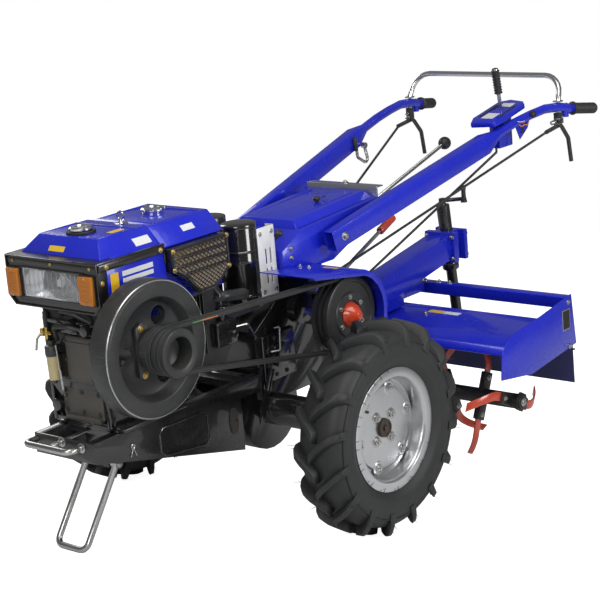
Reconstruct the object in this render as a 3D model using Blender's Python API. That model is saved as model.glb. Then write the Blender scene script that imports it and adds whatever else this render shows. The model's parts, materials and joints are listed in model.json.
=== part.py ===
"""Walking tractor with a bolted-on rotary tiller, as separate solids.

Everything is written in the tractor's own level frame: the origin is the middle
of the wheel axle, +X is the tractor's left side, +Y its rear, +Z up, in metres.
The root empty then pitches the machine nose down, as it stands on its two wheels
and its front stand, and puts the middle of its footprint on the origin.
"""
import math

import bmesh
import bpy
from mathutils import Matrix, Vector

SEAT = 0.0004               # gap between two touching pieces
RUNNING_GAP = 0.0008        # gap round a pin or a shaft in its bore
CLEARANCE = 0.006           # gap between a moving piece and its neighbours

# Wheels
WHEEL_R = 0.320
WHEEL_X = 0.514             # middle of the left tyre
TYRE_HALF_W = 0.0825
TYRE_WALL = 0.013
TREAD_DEPTH = 0.027
BEAD_R = 0.153
RIM_HALF_W = 0.0615
RIM_FLANGE_R = 0.183
RIM_SHEET = 0.0036
HUB_R = 0.045
HUB_CAP_R = 0.031
DISC_X = 0.016              # the disc, outside the middle of the tyre
AXLE_TUBE_R = 0.050
AXLE_TUBE_END_X = 0.420

# Chassis frame
FRAME_HALF_W = 0.120
FRAME_PLATE = 0.006
FRAME_TOP_Z = 0.124
FRAME_FRONT_Y = -0.750
FRAME_FRONT_Z = 0.065       # lower edge at the front
RAIL_REAR_Y = -0.150
RAIL_REAR_Z = -0.086        # lower edge at the rear
FLANGE_W = 0.032
CROSSBAR_Z = 0.100

# Front stand
STAND_PIVOT = Vector((-0.048, -0.576, -0.005))
STAND_HALF_W = 0.060
STAND_TUBE_R = 0.0095
STAND_FOOT = Vector((-0.048, -0.729, -0.2185))
STAND_EYE_R = 0.014
STAND_PIN_R = 0.006
STAND_BEND_R = 0.024

# Engine
CRANKCASE_HALF_W = 0.130
CRANKCASE_Y = (-0.660, -0.380)
CRANKCASE_TOP_Z = 0.470
CYLINDER_Y_END = -0.150
CYLINDER_HALF_W = 0.105
CYLINDER_Z = (0.200, 0.440)
CRANK_Y = -0.606
CRANK_Z = 0.371
FLYWHEEL_R = 0.192
FLYWHEEL_X = (0.195, 0.260)
FLYWHEEL_WEB_X = (0.210, 0.228)
FLYWHEEL_RIM = 0.050
PULLEY_RIM_R = 0.067
PULLEY_X = (0.262, 0.345)
TANK_SIDE_X = (-0.205, 0.140)
TANK_Y = (-0.668, -0.432)
TANK_TOP_Z = 0.664
HOOD_BASE_Z = 0.602
RADIATOR_Y = (-0.4315, -0.183)
RADIATOR_TOP_Z = 0.660
LAMP_BOX_X = (-0.220, 0.150)
LAMP_BOX_Y = (-0.690, -0.620)
LAMP_BOX_Z = (0.473, 0.617)
SIDE_PANEL_X = 0.137
GRILLE_X = 0.171
MUFFLER_AT = Vector((0.080, -0.048))
MUFFLER_R = 0.052
MUFFLER_Z = (0.352, 0.582)

# Belt drive
BELT_X = (0.280, 0.316)
BELT_THICK = 0.010
CLUTCH_Y = 0.150
CLUTCH_Z = 0.280
CLUTCH_R = 0.117
CLUTCH_X = (0.262, 0.325)
GROOVE_DEPTH = 0.0115
GUARD_SHEET = 0.003
GUARD_X = (0.1535, 0.358)
GUARD_GAP = 0.022           # from the clutch pulley's rim to the guard
GUARD_LIP = 0.018

# Gearbox
GEARBOX_HALF_W = 0.110
GEARBOX_Y = (-0.054, 0.250)
GEARBOX_TOP_Z = 0.400
FINAL_DRIVE_R = 0.130
CLUTCH_SHAFT_R = 0.026

# Tool box and handle bars
BOX_HALF_W = 0.150
BOX_Y = (0.060, 0.550)
BOX_WALL = 0.004
BOX_FRONT_Z = 0.480
BOX_HINGE_Y = 0.157
BOX_HINGE_Z = 0.526
BOX_REAR_Z = 0.550
LID_HALF_W = 0.128
LID_HEIGHT = 0.022
LID_SHEET = 0.003
LID_FRONT_GAP = 0.002       # from the hinge line to the lid's front edge
LID_REAR_GAP = 0.008        # from the lid's rear edge to the rear of the box
LID_SLOPE = (0.022, 0.014)  # how far the lid's sloped edges come in, X and Y
BOX_RIM = 0.026             # flange round the mouth of the box
BOX_FLOOR_BEND_Y = 0.300    # where the floor starts to rise
BOX_FLOOR_REAR_Z = 0.500
BOX_TOP_SHEET = 0.010
ARM_W = 0.040
ARM_H = 0.064
ARM_WALL = 0.003
ARM_TUBE_R = 0.0165
ARM_FRONT = Vector((0.190, 0.240, 0.474))
ARM_SHOULDER = Vector((0.275, 0.980, 0.648))
ARM_TUBE_PATH = [Vector((0.282, 1.050, 0.670)), Vector((0.290, 1.140, 0.691)),
                 Vector((0.300, 1.230, 0.705)), Vector((0.309, 1.310, 0.713)),
                 Vector((0.318, 1.385, 0.708)), Vector((0.327, 1.462, 0.692))]
GRIP_END = Vector((0.352, 1.573, 0.676))
CROSSBAR_TOP = Vector((0.0, 1.425, 0.812))
CROSSBAR_BEND_R = 0.070
GRIP_R = 0.0195
CROSSBAR_R = 0.0095
LEVER_R = 0.0065
ROD_R = 0.0045
BOSS_X = 0.119              # bosses at the gearbox's rear that take the rods
BOSS_HALF = 0.011
UPPER_BOSS_Z = 0.334
LOWER_BOSS_Z = 0.224
TURRET_Y = 0.320
TURRET_TOP_Z = 0.372
GEAR_BALL = Vector((0.0, 1.142, 0.612))
GEAR_BALL_R = 0.021
SELECTOR_X = 0.104
SELECTOR_Y = 0.272
SELECTOR_Z = (0.272, 0.298)
SELECTOR_LEVER_TOP = Vector((0.104, 0.678, 0.452))
DASH_CENTRE = Vector((0.236, 1.135, 0.724))
DASH_THICK = 0.018
DASH_TILT = 11              # degrees, rear edge up
DASH_BRACKET_Z = 0.612
CLUTCH_LEVER_TOP = Vector((0.236, 1.127, 0.878))
THROTTLE_R = 0.0035

# Rotary tiller
TILLER_HALF_W = 0.550
SHEET = 0.0035
ROTOR_Y = 0.747
ROTOR_Z = -0.149
ROTOR_SHAFT_R = 0.0245
ROTOR_END_GAP = 0.012       # from the shaft's end to the hood's end plate
HOLDER_ENDS = (0.073, 0.062)  # the first holder from the drive case, the last from the hood's end
BLADE_R = 0.205
BLADE_W = 0.030
BLADE_THICK = 0.007
CASE_HALF_W = 0.055
BEAM_SIZE = 0.088
BEAM_WALL = 0.004
BEAM_START = Vector((0.0, 0.370, 0.1370))
BEAM_END = Vector((0.0, 1.080, 0.2550))
POST_TOP = Vector((0.0, 1.107, 0.397))
POST_FOOT = Vector((0.0, 1.172, -0.165))
POST_R = 0.0235
POST_LOWER_R = 0.0190
POST_STEP_Z = 0.185
REAR_BAR_Y = 1.035
REAR_BAR_Z = 0.142

ROUND = 24                  # sides of a large turned piece
SIDES = 12                  # sides of a tube

MATERIALS = {
    # name: (red, green, blue), roughness, metallic
    "blue_paint": ((0.020, 0.045, 0.560), 0.25, 0.0),
    "black_paint": ((0.012, 0.012, 0.013), 0.35, 0.0),
    "dark_iron": ((0.060, 0.064, 0.068), 0.45, 0.6),
    "bright_steel": ((0.560, 0.560, 0.550), 0.25, 1.0),
    "silver_paint": ((0.480, 0.490, 0.500), 0.35, 0.7),
    "tyre_rubber": ((0.022, 0.022, 0.022), 0.80, 0.0),
    "belt_rubber": ((0.018, 0.018, 0.018), 0.70, 0.0),
    "grip_plastic": ((0.020, 0.020, 0.020), 0.60, 0.0),
    "orange_paint": ((0.620, 0.075, 0.020), 0.35, 0.0),
    "white_sheet": ((0.700, 0.710, 0.700), 0.35, 0.2),
    "amber_lens": ((0.700, 0.190, 0.010), 0.15, 0.0),
    "clear_lens": ((0.700, 0.720, 0.720), 0.05, 0.0),
}

STATIONARY = "tractor"
# body name: the point on its joint axis
BODIES = {
    STATIONARY: Vector((0.0, 0.0, 0.0)),
    "wheel_left": Vector((WHEEL_X, 0.0, 0.0)),
    "wheel_right": Vector((-WHEEL_X, 0.0, 0.0)),
    "flywheel_set": Vector((FLYWHEEL_X[1], CRANK_Y, CRANK_Z)),
    "clutch_set": Vector((CLUTCH_X[1], CLUTCH_Y, CLUTCH_Z)),
    "rotor": Vector((0.0, ROTOR_Y, ROTOR_Z)),
    "stand": STAND_PIVOT,
    "box_lid": Vector((0.0, BOX_HINGE_Y, BOX_HINGE_Z)),
}


# ---------------------------------------------------------------- shape helpers

def closed(bm):
    """Merge doubled points and turn the faces of a closed shape outwards."""
    bmesh.ops.remove_doubles(bm, verts=bm.verts[:], dist=0.00001)
    bmesh.ops.recalc_face_normals(bm, faces=bm.faces[:])
    return bm


def box(low, high):
    bm = bmesh.new()
    bmesh.ops.create_cube(bm, size=1.0)
    size = Vector(high) - Vector(low)
    middle = (Vector(high) + Vector(low)) / 2
    for vert in bm.verts:
        vert.co = Vector(a * b for a, b in zip(vert.co, size)) + middle
    return bm


def hull(points):
    """The convex solid round a few points."""
    bm = bmesh.new()
    for point in points:
        bm.verts.new(point)
    result = bmesh.ops.convex_hull(bm, input=bm.verts[:])
    spare = [item for item in result["geom_interior"] if isinstance(item, bmesh.types.BMVert)]
    bmesh.ops.delete(bm, geom=spare, context="VERTS")
    return closed(bm)


def prism(outline, low, high, axis="X"):
    """Extrude an outline along an axis. The outline is (Y, Z), (X, Z) or (X, Y)."""
    bm = bmesh.new()

    def point(pair, along):
        if axis == "X":
            return (along, pair[0], pair[1])
        if axis == "Y":
            return (pair[0], along, pair[1])
        return (pair[0], pair[1], along)

    first = [bm.verts.new(point(pair, low)) for pair in outline]
    last = [bm.verts.new(point(pair, high)) for pair in outline]
    bm.faces.new(first)
    bm.faces.new(last)
    count = len(outline)
    for i in range(count):
        j = (i + 1) % count
        bm.faces.new((first[i], first[j], last[j], last[i]))
    return closed(bm)


def lathe(profile, centre, segments=ROUND):
    """Turn a closed (X, radius) outline about a line along X. Radius 0 closes the shape."""
    bm = bmesh.new()
    rings = []
    for x, radius in profile:
        if radius == 0.0:
            rings.append([bm.verts.new((x, centre[0], centre[1]))] * segments)
            continue
        ring = []
        for i in range(segments):
            angle = 2 * math.pi * i / segments
            y = centre[0] + radius * math.cos(angle)
            z = centre[1] + radius * math.sin(angle)
            ring.append(bm.verts.new((x, y, z)))
        rings.append(ring)
    count = len(rings)
    for i in range(count):
        one = rings[i]
        two = rings[(i + 1) % count]
        for k in range(segments):
            m = (k + 1) % segments
            corners = []
            for vert in (one[k], one[m], two[m], two[k]):
                if vert not in corners:
                    corners.append(vert)
            if len(corners) > 2:
                bm.faces.new(corners)
    return closed(bm)


def disc(x0, x1, radius, centre, segments=ROUND):
    return lathe([(x0, 0.0), (x0, radius), (x1, radius), (x1, 0.0)], centre, segments)


def post(at, radius, z0, z1, segments=24):
    """An upright round bar."""
    outline = [(at[0] + radius * math.cos(2 * math.pi * i / segments),
                at[1] + radius * math.sin(2 * math.pi * i / segments)) for i in range(segments)]
    return prism(outline, z0, z1, "Z")


def rounded(points, radius, steps=4):
    """A path through corners, each turned by an arc of the given radius."""
    path = [Vector(points[0])]
    for before, corner, after in zip(points, points[1:], points[2:]):
        corner = Vector(corner)
        back = (Vector(before) - corner).normalized()
        ahead = (Vector(after) - corner).normalized()
        half = back.angle(ahead) / 2
        reach = radius / math.tan(half)
        centre = corner + (back + ahead).normalized() * radius / math.sin(half)
        start = (corner + back * reach - centre).normalized()
        end = (corner + ahead * reach - centre).normalized()
        for step in range(steps + 1):
            path.append(centre + start.slerp(end, step / steps) * radius)
    path.append(Vector(points[-1]))
    return path


def frames(path):
    """Direction, side and up vectors along a path, with mitred corners."""
    result = []
    for i, point in enumerate(path):
        before = path[max(i - 1, 0)]
        after = path[min(i + 1, len(path) - 1)]
        along = (Vector(after) - Vector(before)).normalized()
        if i == 0:
            side = along.orthogonal().normalized()
        else:
            side = (side - along * side.dot(along)).normalized()
        result.append((along, side, along.cross(side)))
    return result


def tube(path, radii, sides=SIDES):
    """A solid round bar along a path. radii is one number or one for each point."""
    path = [Vector(point) for point in path]
    if isinstance(radii, float):
        radii = [radii] * len(path)
    bm = bmesh.new()
    rings = []
    for point, radius, (along, side, up) in zip(path, radii, frames(path)):
        ring = []
        for i in range(sides):
            angle = 2 * math.pi * i / sides
            offset = side * math.cos(angle) + up * math.sin(angle)
            ring.append(bm.verts.new(point + offset * radius))
        rings.append(ring)
    return skin(bm, rings)


def skin(bm, rings):
    """Join rings of points by quads and close both ends."""
    count = len(rings[0])
    for one, two in zip(rings, rings[1:]):
        for k in range(count):
            m = (k + 1) % count
            bm.faces.new((one[k], one[m], two[m], two[k]))
    bm.faces.new(rings[0])
    bm.faces.new(rings[-1])
    return closed(bm)


def strip(sections):
    """A solid through rectangles, each given by its four corners."""
    bm = bmesh.new()
    rings = [[bm.verts.new(corner) for corner in section] for section in sections]
    return skin(bm, rings)


def hollow_sweep(path, sizes, wall):
    """An open-ended tube that changes from a rectangle to a circle.

    sizes holds (width, height, is_round) for each point. The rings have eight
    points: the corners and the middles of the sides.
    """
    bm = bmesh.new()
    outer = []
    inner = []
    for i, (point, (width, height, is_round)) in enumerate(zip(path, sizes)):
        point = Vector(point)
        before = Vector(path[max(i - 1, 0)])
        after = Vector(path[min(i + 1, len(path) - 1)])
        along = (after - before).normalized()
        side = Vector((0, 0, 1)).cross(along).normalized() * -1
        up = along.cross(side) * -1
        for rings, less in ((outer, 0.0), (inner, wall)):
            ring = []
            for k in range(8):
                angle = math.pi / 4 * k
                a = math.cos(angle)
                b = math.sin(angle)
                if not is_round:
                    a = round(a)
                    b = round(b)
                reach = side * a * (width / 2 - less) + up * b * (height / 2 - less)
                ring.append(bm.verts.new(point + reach))
            rings.append(ring)
    for rings in (outer, inner):
        for one, two in zip(rings, rings[1:]):
            for k in range(8):
                m = (k + 1) % 8
                bm.faces.new((one[k], one[m], two[m], two[k]))
    for out_ring, in_ring in ((outer[0], inner[0]), (outer[-1], inner[-1])):
        for k in range(8):
            m = (k + 1) % 8
            bm.faces.new((out_ring[k], out_ring[m], in_ring[m], in_ring[k]))
    return closed(bm)


def mirrored(bm):
    """The same shape on the other side of the machine."""
    copy = bm.copy()
    bmesh.ops.scale(copy, vec=(-1, 1, 1), verts=copy.verts[:])
    return closed(copy)


def joined(shapes):
    """Several closed shapes in one mesh."""
    bm = bmesh.new()
    mesh = bpy.data.meshes.new("joining")
    for shape in shapes:
        shape.to_mesh(mesh)
        bm.from_mesh(mesh)
    bpy.data.meshes.remove(mesh)
    return bm


# ---------------------------------------------------------------- scene helpers

def clear_scene():
    for item in list(bpy.data.objects):
        bpy.data.objects.remove(item, do_unlink=True)


def make_material(name):
    colour, roughness, metallic = MATERIALS[name]
    material = bpy.data.materials.new(name)
    material.use_nodes = True
    shader = material.node_tree.nodes["Principled BSDF"]
    shader.inputs["Base Color"].default_value = (*colour, 1.0)
    shader.inputs["Roughness"].default_value = roughness
    shader.inputs["Metallic"].default_value = metallic
    return material


def add_object(name, bm, body):
    pivot = BODIES[body]
    bmesh.ops.translate(bm, vec=-pivot, verts=bm.verts[:])
    mesh = bpy.data.meshes.new(name)
    bm.to_mesh(mesh)
    bm.free()
    item = bpy.data.objects.new(name, mesh)
    item.parent = EMPTIES[body]
    bpy.context.scene.collection.objects.link(item)
    return item


def piece(name, body, material, shape, add=(), cut=()):
    """One sub-part: a shape, joined to the shapes in add, less the shapes in cut."""
    item = add_object(name, shape, body)
    item.data.materials.append(SURFACES[material])
    item.data.shade_smooth()
    item.data.set_sharp_from_angle(angle=math.radians(35))
    for operation, shapes in (("UNION", add), ("DIFFERENCE", cut)):
        if not shapes:
            continue
        helper = add_object(f"{name}_{operation.lower()}", joined(shapes), body)
        helper.hide_render = True
        helper.display_type = "WIRE"
        modifier = item.modifiers.new(operation.title(), "BOOLEAN")
        modifier.operation = operation
        modifier.object = helper
        modifier.solver = "EXACT"
        modifier.use_self = len(shapes) > 1
    return item


# ---------------------------------------------------------------- wheels

def make_wheel(side, body):
    """Tyre and dished rim. side is +1 on the left and -1 on the right."""
    half_w = TYRE_HALF_W
    bead_x = RIM_HALF_W - RIM_SHEET - SEAT
    shoulder_r = WHEEL_R - 0.022
    bulge_r = (BEAD_R + WHEEL_R) / 2
    tyre = [
        (bead_x - 0.018, BEAD_R), (bead_x, BEAD_R), (bead_x, RIM_FLANGE_R + 0.001),
        (half_w, bulge_r - 0.012), (half_w, bulge_r + 0.018), (half_w - 0.009, shoulder_r),
        (half_w - 0.023, WHEEL_R),
    ]
    inner = [
        (0.0, WHEEL_R - TREAD_DEPTH), (half_w - 0.026, WHEEL_R - TREAD_DEPTH - 0.004),
        (half_w - TYRE_WALL, bulge_r + 0.018), (half_w - TYRE_WALL, bulge_r - 0.012),
        (bead_x - 0.018, RIM_FLANGE_R - 0.003),
    ]
    right_half = [(-x, r) for x, r in reversed(tyre)]
    inner_right = [(-x, r) for x, r in reversed(inner) if x > 0]
    profile = tyre + right_half + inner_right + inner
    profile = [(side * (WHEEL_X + x), r) for x, r in profile]
    piece(f"tyre_{SIDE_NAMES[side]}", body, "tyre_rubber", lathe(profile, (0.0, 0.0), ROUND + 4))

    flange_in = RIM_HALF_W - RIM_SHEET
    barrel_r = BEAD_R - SEAT
    barrel_in_r = barrel_r - RIM_SHEET
    hub_in_x = AXLE_TUBE_END_X + RUNNING_GAP - WHEEL_X
    rim = [
        (RIM_HALF_W, barrel_in_r), (RIM_HALF_W, RIM_FLANGE_R), (flange_in, RIM_FLANGE_R),
        (flange_in, barrel_r), (-flange_in, barrel_r), (-flange_in, RIM_FLANGE_R),
        (-RIM_HALF_W, RIM_FLANGE_R), (-RIM_HALF_W, barrel_in_r),
        (DISC_X - 0.010, barrel_in_r), (DISC_X - 0.010, 0.122), (DISC_X - 0.003, 0.100),
        (DISC_X - 0.003, HUB_R), (hub_in_x, HUB_R), (hub_in_x, 0.0),
        (DISC_X + 0.014, 0.0), (DISC_X + 0.014, HUB_CAP_R), (DISC_X + 0.003, HUB_CAP_R),
        (DISC_X + 0.003, 0.100), (DISC_X - 0.004, 0.122), (DISC_X - 0.004, barrel_in_r),
    ]
    profile = [(side * (WHEEL_X + x), r) for x, r in rim]
    piece(f"rim_{SIDE_NAMES[side]}", body, "silver_paint", lathe(profile, (0.0, 0.0), ROUND + 4))


# ---------------------------------------------------------------- chassis

def rail_outline():
    """The side of a frame rail, (Y, Z), with its tongue back to the gearbox."""
    tongue_end = GEARBOX_Y[0] - SEAT
    return [
        (FRAME_FRONT_Y, FRAME_FRONT_Z), (RAIL_REAR_Y, RAIL_REAR_Z),
        (RAIL_REAR_Y, FRAME_TOP_Z - 0.050), (tongue_end, FRAME_TOP_Z - 0.050),
        (tongue_end, FRAME_TOP_Z), (FRAME_FRONT_Y, FRAME_TOP_Z),
    ]


def make_chassis_frame():
    inner_x = FRAME_HALF_W - FRAME_PLATE
    flange_z = FRAME_TOP_Z - FRAME_PLATE
    left_rail = prism(rail_outline(), inner_x, FRAME_HALF_W)
    flange = box((FRAME_HALF_W - FLANGE_W, FRAME_FRONT_Y, flange_z),
                 (FRAME_HALF_W - 0.001, GEARBOX_Y[0] - SEAT, FRAME_TOP_Z))
    parts = [mirrored(left_rail), flange, mirrored(flange)]
    parts.append(box((-inner_x - 0.002, FRAME_FRONT_Y, FRAME_FRONT_Z),
                     (inner_x + 0.002, FRAME_FRONT_Y + FRAME_PLATE, FRAME_TOP_Z)))
    # Y range of the members that carry the engine's feet and the rear of the frame
    crossbars = [(-0.640, -0.552), (-0.430, -0.370), (-0.145, -0.098)]
    for front_y, rear_y in crossbars:
        parts.append(box((-inner_x - 0.002, front_y, CROSSBAR_Z),
                         (inner_x + 0.002, rear_y, FRAME_TOP_Z - 0.001)))
    eye_half = 0.012
    lug_half = STAND_HALF_W - eye_half - CLEARANCE
    pivot = STAND_PIVOT
    parts.append(box((pivot.x - lug_half, pivot.y - 0.013, pivot.z - 0.013),
                     (pivot.x + lug_half, pivot.y + 0.013, CROSSBAR_Z + 0.002)))
    pin_half = STAND_HALF_W + eye_half + 0.002
    parts.append(disc(pivot.x - pin_half, pivot.x + pin_half, STAND_PIN_R, (pivot.y, pivot.z), 16))
    piece("chassis_frame", STATIONARY, "black_paint", left_rail, parts)


def make_bumper_bar():
    rear_y = FRAME_FRONT_Y - SEAT
    left_x = 0.066
    right_x = -0.112
    z = 0.106
    path = rounded([(left_x, rear_y, z), (left_x, rear_y - 0.046, z), (right_x, rear_y - 0.046, z),
                    (right_x, rear_y, z)], 0.020)
    piece("front_bumper_bar", STATIONARY, "bright_steel", tube(path, 0.0095))


def make_front_stand():
    """U-shaped leg whose two eyes turn on the pin under the frame."""
    pivot = STAND_PIVOT
    foot = STAND_FOOT
    half = STAND_HALF_W
    path = rounded([(pivot.x + half, pivot.y, pivot.z), (foot.x + half, foot.y, foot.z),
                    (foot.x - half, foot.y, foot.z), (pivot.x - half, pivot.y, pivot.z)],
                   STAND_BEND_R, 5)
    eye_half = 0.012
    centre = (pivot.y, pivot.z)
    eyes = [disc(pivot.x + s * half - eye_half, pivot.x + s * half + eye_half, STAND_EYE_R, centre, 20)
            for s in (1, -1)]
    pin_half = half + eye_half + 0.010
    bore = disc(pivot.x - pin_half, pivot.x + pin_half, STAND_PIN_R + RUNNING_GAP, centre, 16)
    piece("front_stand", "stand", "bright_steel", tube(path, STAND_TUBE_R), eyes, [bore])


# ---------------------------------------------------------------- engine

def make_engine_block():
    front_y, rear_y = CRANKCASE_Y
    half = CRANKCASE_HALF_W
    base_z = FRAME_TOP_Z + SEAT
    case = prism([(-half + 0.045, base_z), (half - 0.030, base_z), (half, base_z + 0.060),
                  (half, CRANKCASE_TOP_Z), (-half, CRANKCASE_TOP_Z), (-half, base_z + 0.085)],
                 front_y, rear_y, "Y")
    feet = box((-FRAME_HALF_W - 0.018, front_y + 0.012, base_z),
               (FRAME_HALF_W + 0.018, rear_y - 0.012, base_z + 0.014))
    cover_r = 0.105
    cover = []
    for i in range(8):
        angle = math.radians(22.5 + 45 * i)
        cover.append((cover_r * math.cos(angle) - 0.010, 0.285 + cover_r * math.sin(angle)))
    front_cover = prism(cover, front_y - 0.014, front_y + 0.010, "Y")
    piece("engine_block", STATIONARY, "black_paint", case, [feet, front_cover])


def make_cylinder_head():
    """Cylinder and head behind the crankcase, with the port that carries the muffler."""
    front_y = CRANKCASE_Y[1] + SEAT
    half = CYLINDER_HALF_W
    low, high = CYLINDER_Z
    outline = [(front_y, low), (CYLINDER_Y_END - 0.030, low), (CYLINDER_Y_END, low + 0.045),
               (CYLINDER_Y_END, high - 0.070), (CYLINDER_Y_END - 0.040, high), (front_y, high)]
    cylinder = prism(outline, -half, half)
    port_z = (MUFFLER_Z[0] - 0.034, MUFFLER_Z[0] - SEAT)
    port = box((MUFFLER_AT.x - 0.030, CYLINDER_Y_END - 0.020, port_z[0]),
               (MUFFLER_AT.x + 0.024, MUFFLER_AT.y + 0.028, port_z[1]))
    inlet = box((-half, CYLINDER_Y_END - 0.030, 0.345), (-half + 0.050, 0.004, 0.390))
    piece("cylinder_head", STATIONARY, "dark_iron", cylinder, [port, inlet])


def hood_shell(low_x, high_x, y0, y1, base_z, top_z, slope, front_slope):
    """A cover with sloped sides and a sloped front."""
    points = []
    for z, inset, front in ((base_z, 0.0, 0.0), (top_z, slope, front_slope)):
        for x in (low_x + inset, high_x - inset):
            points.append((x, y0 + front, z))
            points.append((x, y1, z))
    return hull(points)


def make_fuel_tank():
    x0, x1 = TANK_SIDE_X
    y0, y1 = TANK_Y
    top = hood_shell(x0, x1, y0, y1, HOOD_BASE_Z, TANK_TOP_Z, 0.055, 0.050)
    tub = box((x0 + 0.012, LAMP_BOX_Y[1] + SEAT, CRANKCASE_TOP_Z + SEAT),
              (SIDE_PANEL_X - 0.004 - SEAT, y1, HOOD_BASE_Z + 0.010))
    # the lamp box's rim lies under the front of the tank
    lamp_room = box((LAMP_BOX_X[0] - 0.01, y0 - 0.05, 0.40), (LAMP_BOX_X[1] + 0.01, LAMP_BOX_Y[1] + SEAT,
                                                            LAMP_BOX_Z[1] + SEAT))
    piece("fuel_tank", STATIONARY, "blue_paint", top, [tub], [lamp_room])


def make_radiator():
    x0, x1 = TANK_SIDE_X
    y0, y1 = RADIATOR_Y
    top = hood_shell(x0, x1 + 0.006, y0, y1, HOOD_BASE_Z, RADIATOR_TOP_Z, 0.055, 0.0)
    core_floor = CYLINDER_Z[1] + SEAT
    core = box((x0 + 0.020, y0, core_floor), (SIDE_PANEL_X - 0.004, y1 - 0.010, HOOD_BASE_Z + 0.010))
    crank_room = box((x0 - 0.02, y0 - 0.02, core_floor - 0.02),
                     (x1 + 0.02, CRANKCASE_Y[1] + CLEARANCE, CRANKCASE_TOP_Z + SEAT))
    piece("radiator", STATIONARY, "blue_paint", top, [core], [crank_room])


def make_caps():
    # name, X, Y, surface Z, radius, height
    caps = [("fuel_cap", -0.030, -0.570, TANK_TOP_Z, 0.040, 0.016),
            ("radiator_cap", -0.030, -0.285, RADIATOR_TOP_Z, 0.034, 0.016)]
    for name, x, y, z, radius, height in caps:
        outline = [(x + radius * math.cos(2 * math.pi * i / 24), y + radius * math.sin(2 * math.pi * i / 24))
                   for i in range(24)]
        piece(name, STATIONARY, "bright_steel", prism(outline, z + SEAT, z + height, "Z"))


def make_side_panel():
    """Blue cover beside the tank, cut round the flywheel."""
    y0 = LAMP_BOX_Y[1] + SEAT
    panel = box((SIDE_PANEL_X - 0.004, y0, 0.420), (SIDE_PANEL_X, TANK_Y[1], HOOD_BASE_Z - SEAT))
    room = disc(SIDE_PANEL_X - 0.02, SIDE_PANEL_X + 0.02, 0.100, (CRANK_Y, CRANK_Z))
    below = box((SIDE_PANEL_X - 0.02, y0 - 0.01, 0.40), (SIDE_PANEL_X + 0.02, -0.560, CRANKCASE_TOP_Z + 0.002))
    piece("side_panel", STATIONARY, "blue_paint", panel, (), [room, below])


def make_grille():
    """Radiator grille with its lower front corner cut round the flywheel."""
    outline = [(-0.4300, 0.598), (-0.4300, 0.535), (-0.375, 0.500), (-0.330, 0.452), (-0.262, 0.452),
               (-0.196, 0.500), (-0.196, 0.598)]
    room = box((0.100, -0.410, 0.515), (GRILLE_X - 0.004, -0.215, 0.585))
    low_x = SIDE_PANEL_X - 0.004 + SEAT
    piece("radiator_grille", STATIONARY, "black_paint", prism(outline, low_x, GRILLE_X), (), [room])


def make_lamp_housing():
    """Front bezel with a window for the headlamp and a strip back along each side."""
    x0, x1 = LAMP_BOX_X
    y0, y1 = LAMP_BOX_Y
    z0, z1 = LAMP_BOX_Z
    chamfer = 0.022
    outline = [(x0 + chamfer, z0), (x1 - chamfer, z0), (x1, z0 + chamfer), (x1, z1), (x0, z1),
               (x0, z0 + chamfer)]
    frame = prism(outline, y0, y1, "Y")
    window = box((x0 + 0.062, y0 - 0.01, z0 + 0.028), (x1 - 0.062, y0 + 0.045, z1 - 0.034))
    strips = [box((x1 - 0.010, y1 - 0.002, z1 - 0.030), (x1, TANK_Y[1], z1)),
              box((x0, y1 - 0.002, z1 - 0.030), (x0 + 0.0145, TANK_Y[1], z1))]
    tank_room = hood_shell(TANK_SIDE_X[0] - SEAT, TANK_SIDE_X[1] + SEAT, TANK_Y[0], TANK_Y[1] + 0.05,
                           HOOD_BASE_Z - SEAT, TANK_TOP_Z, 0.055, 0.0)
    piece("lamp_housing", STATIONARY, "black_paint", frame, strips, [window, tank_strip_room(tank_room)])


def tank_strip_room(shape):
    """Keep only the part of the tank's shape behind the lamp box."""
    cut_y = LAMP_BOX_Y[1]
    geometry = shape.verts[:] + shape.edges[:] + shape.faces[:]
    result = bmesh.ops.bisect_plane(shape, geom=geometry, plane_co=(0, cut_y, 0), plane_no=(0, 1, 0),
                                    clear_inner=True)
    edges = [item for item in result["geom_cut"] if isinstance(item, bmesh.types.BMEdge)]
    bmesh.ops.contextual_create(shape, geom=edges)
    return closed(shape)


def make_lamps():
    x0, x1 = LAMP_BOX_X
    y0 = LAMP_BOX_Y[0]
    z0, z1 = LAMP_BOX_Z
    piece("headlamp", STATIONARY, "clear_lens",
          box((x0 + 0.062 + SEAT, y0 - 0.004, z0 + 0.028 + SEAT),
              (x1 - 0.062 - SEAT, y0 + 0.045 - SEAT, z1 - 0.034 - SEAT)))
    signal_w = 0.048
    for name, low_x in (("left", x1 - 0.056), ("right", x0 + 0.008)):
        piece(f"turn_signal_{name}", STATIONARY, "amber_lens",
              box((low_x, y0 - 0.016, z0 + 0.028), (low_x + signal_w, y0 - SEAT, z1 - 0.036)))


def make_muffler():
    low, high = MUFFLER_Z
    body = post(MUFFLER_AT, MUFFLER_R, low, high, ROUND)
    band = post(MUFFLER_AT, MUFFLER_R + 0.003, 0.470, 0.478, ROUND)
    piece("muffler", STATIONARY, "black_paint", body, [band])


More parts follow.
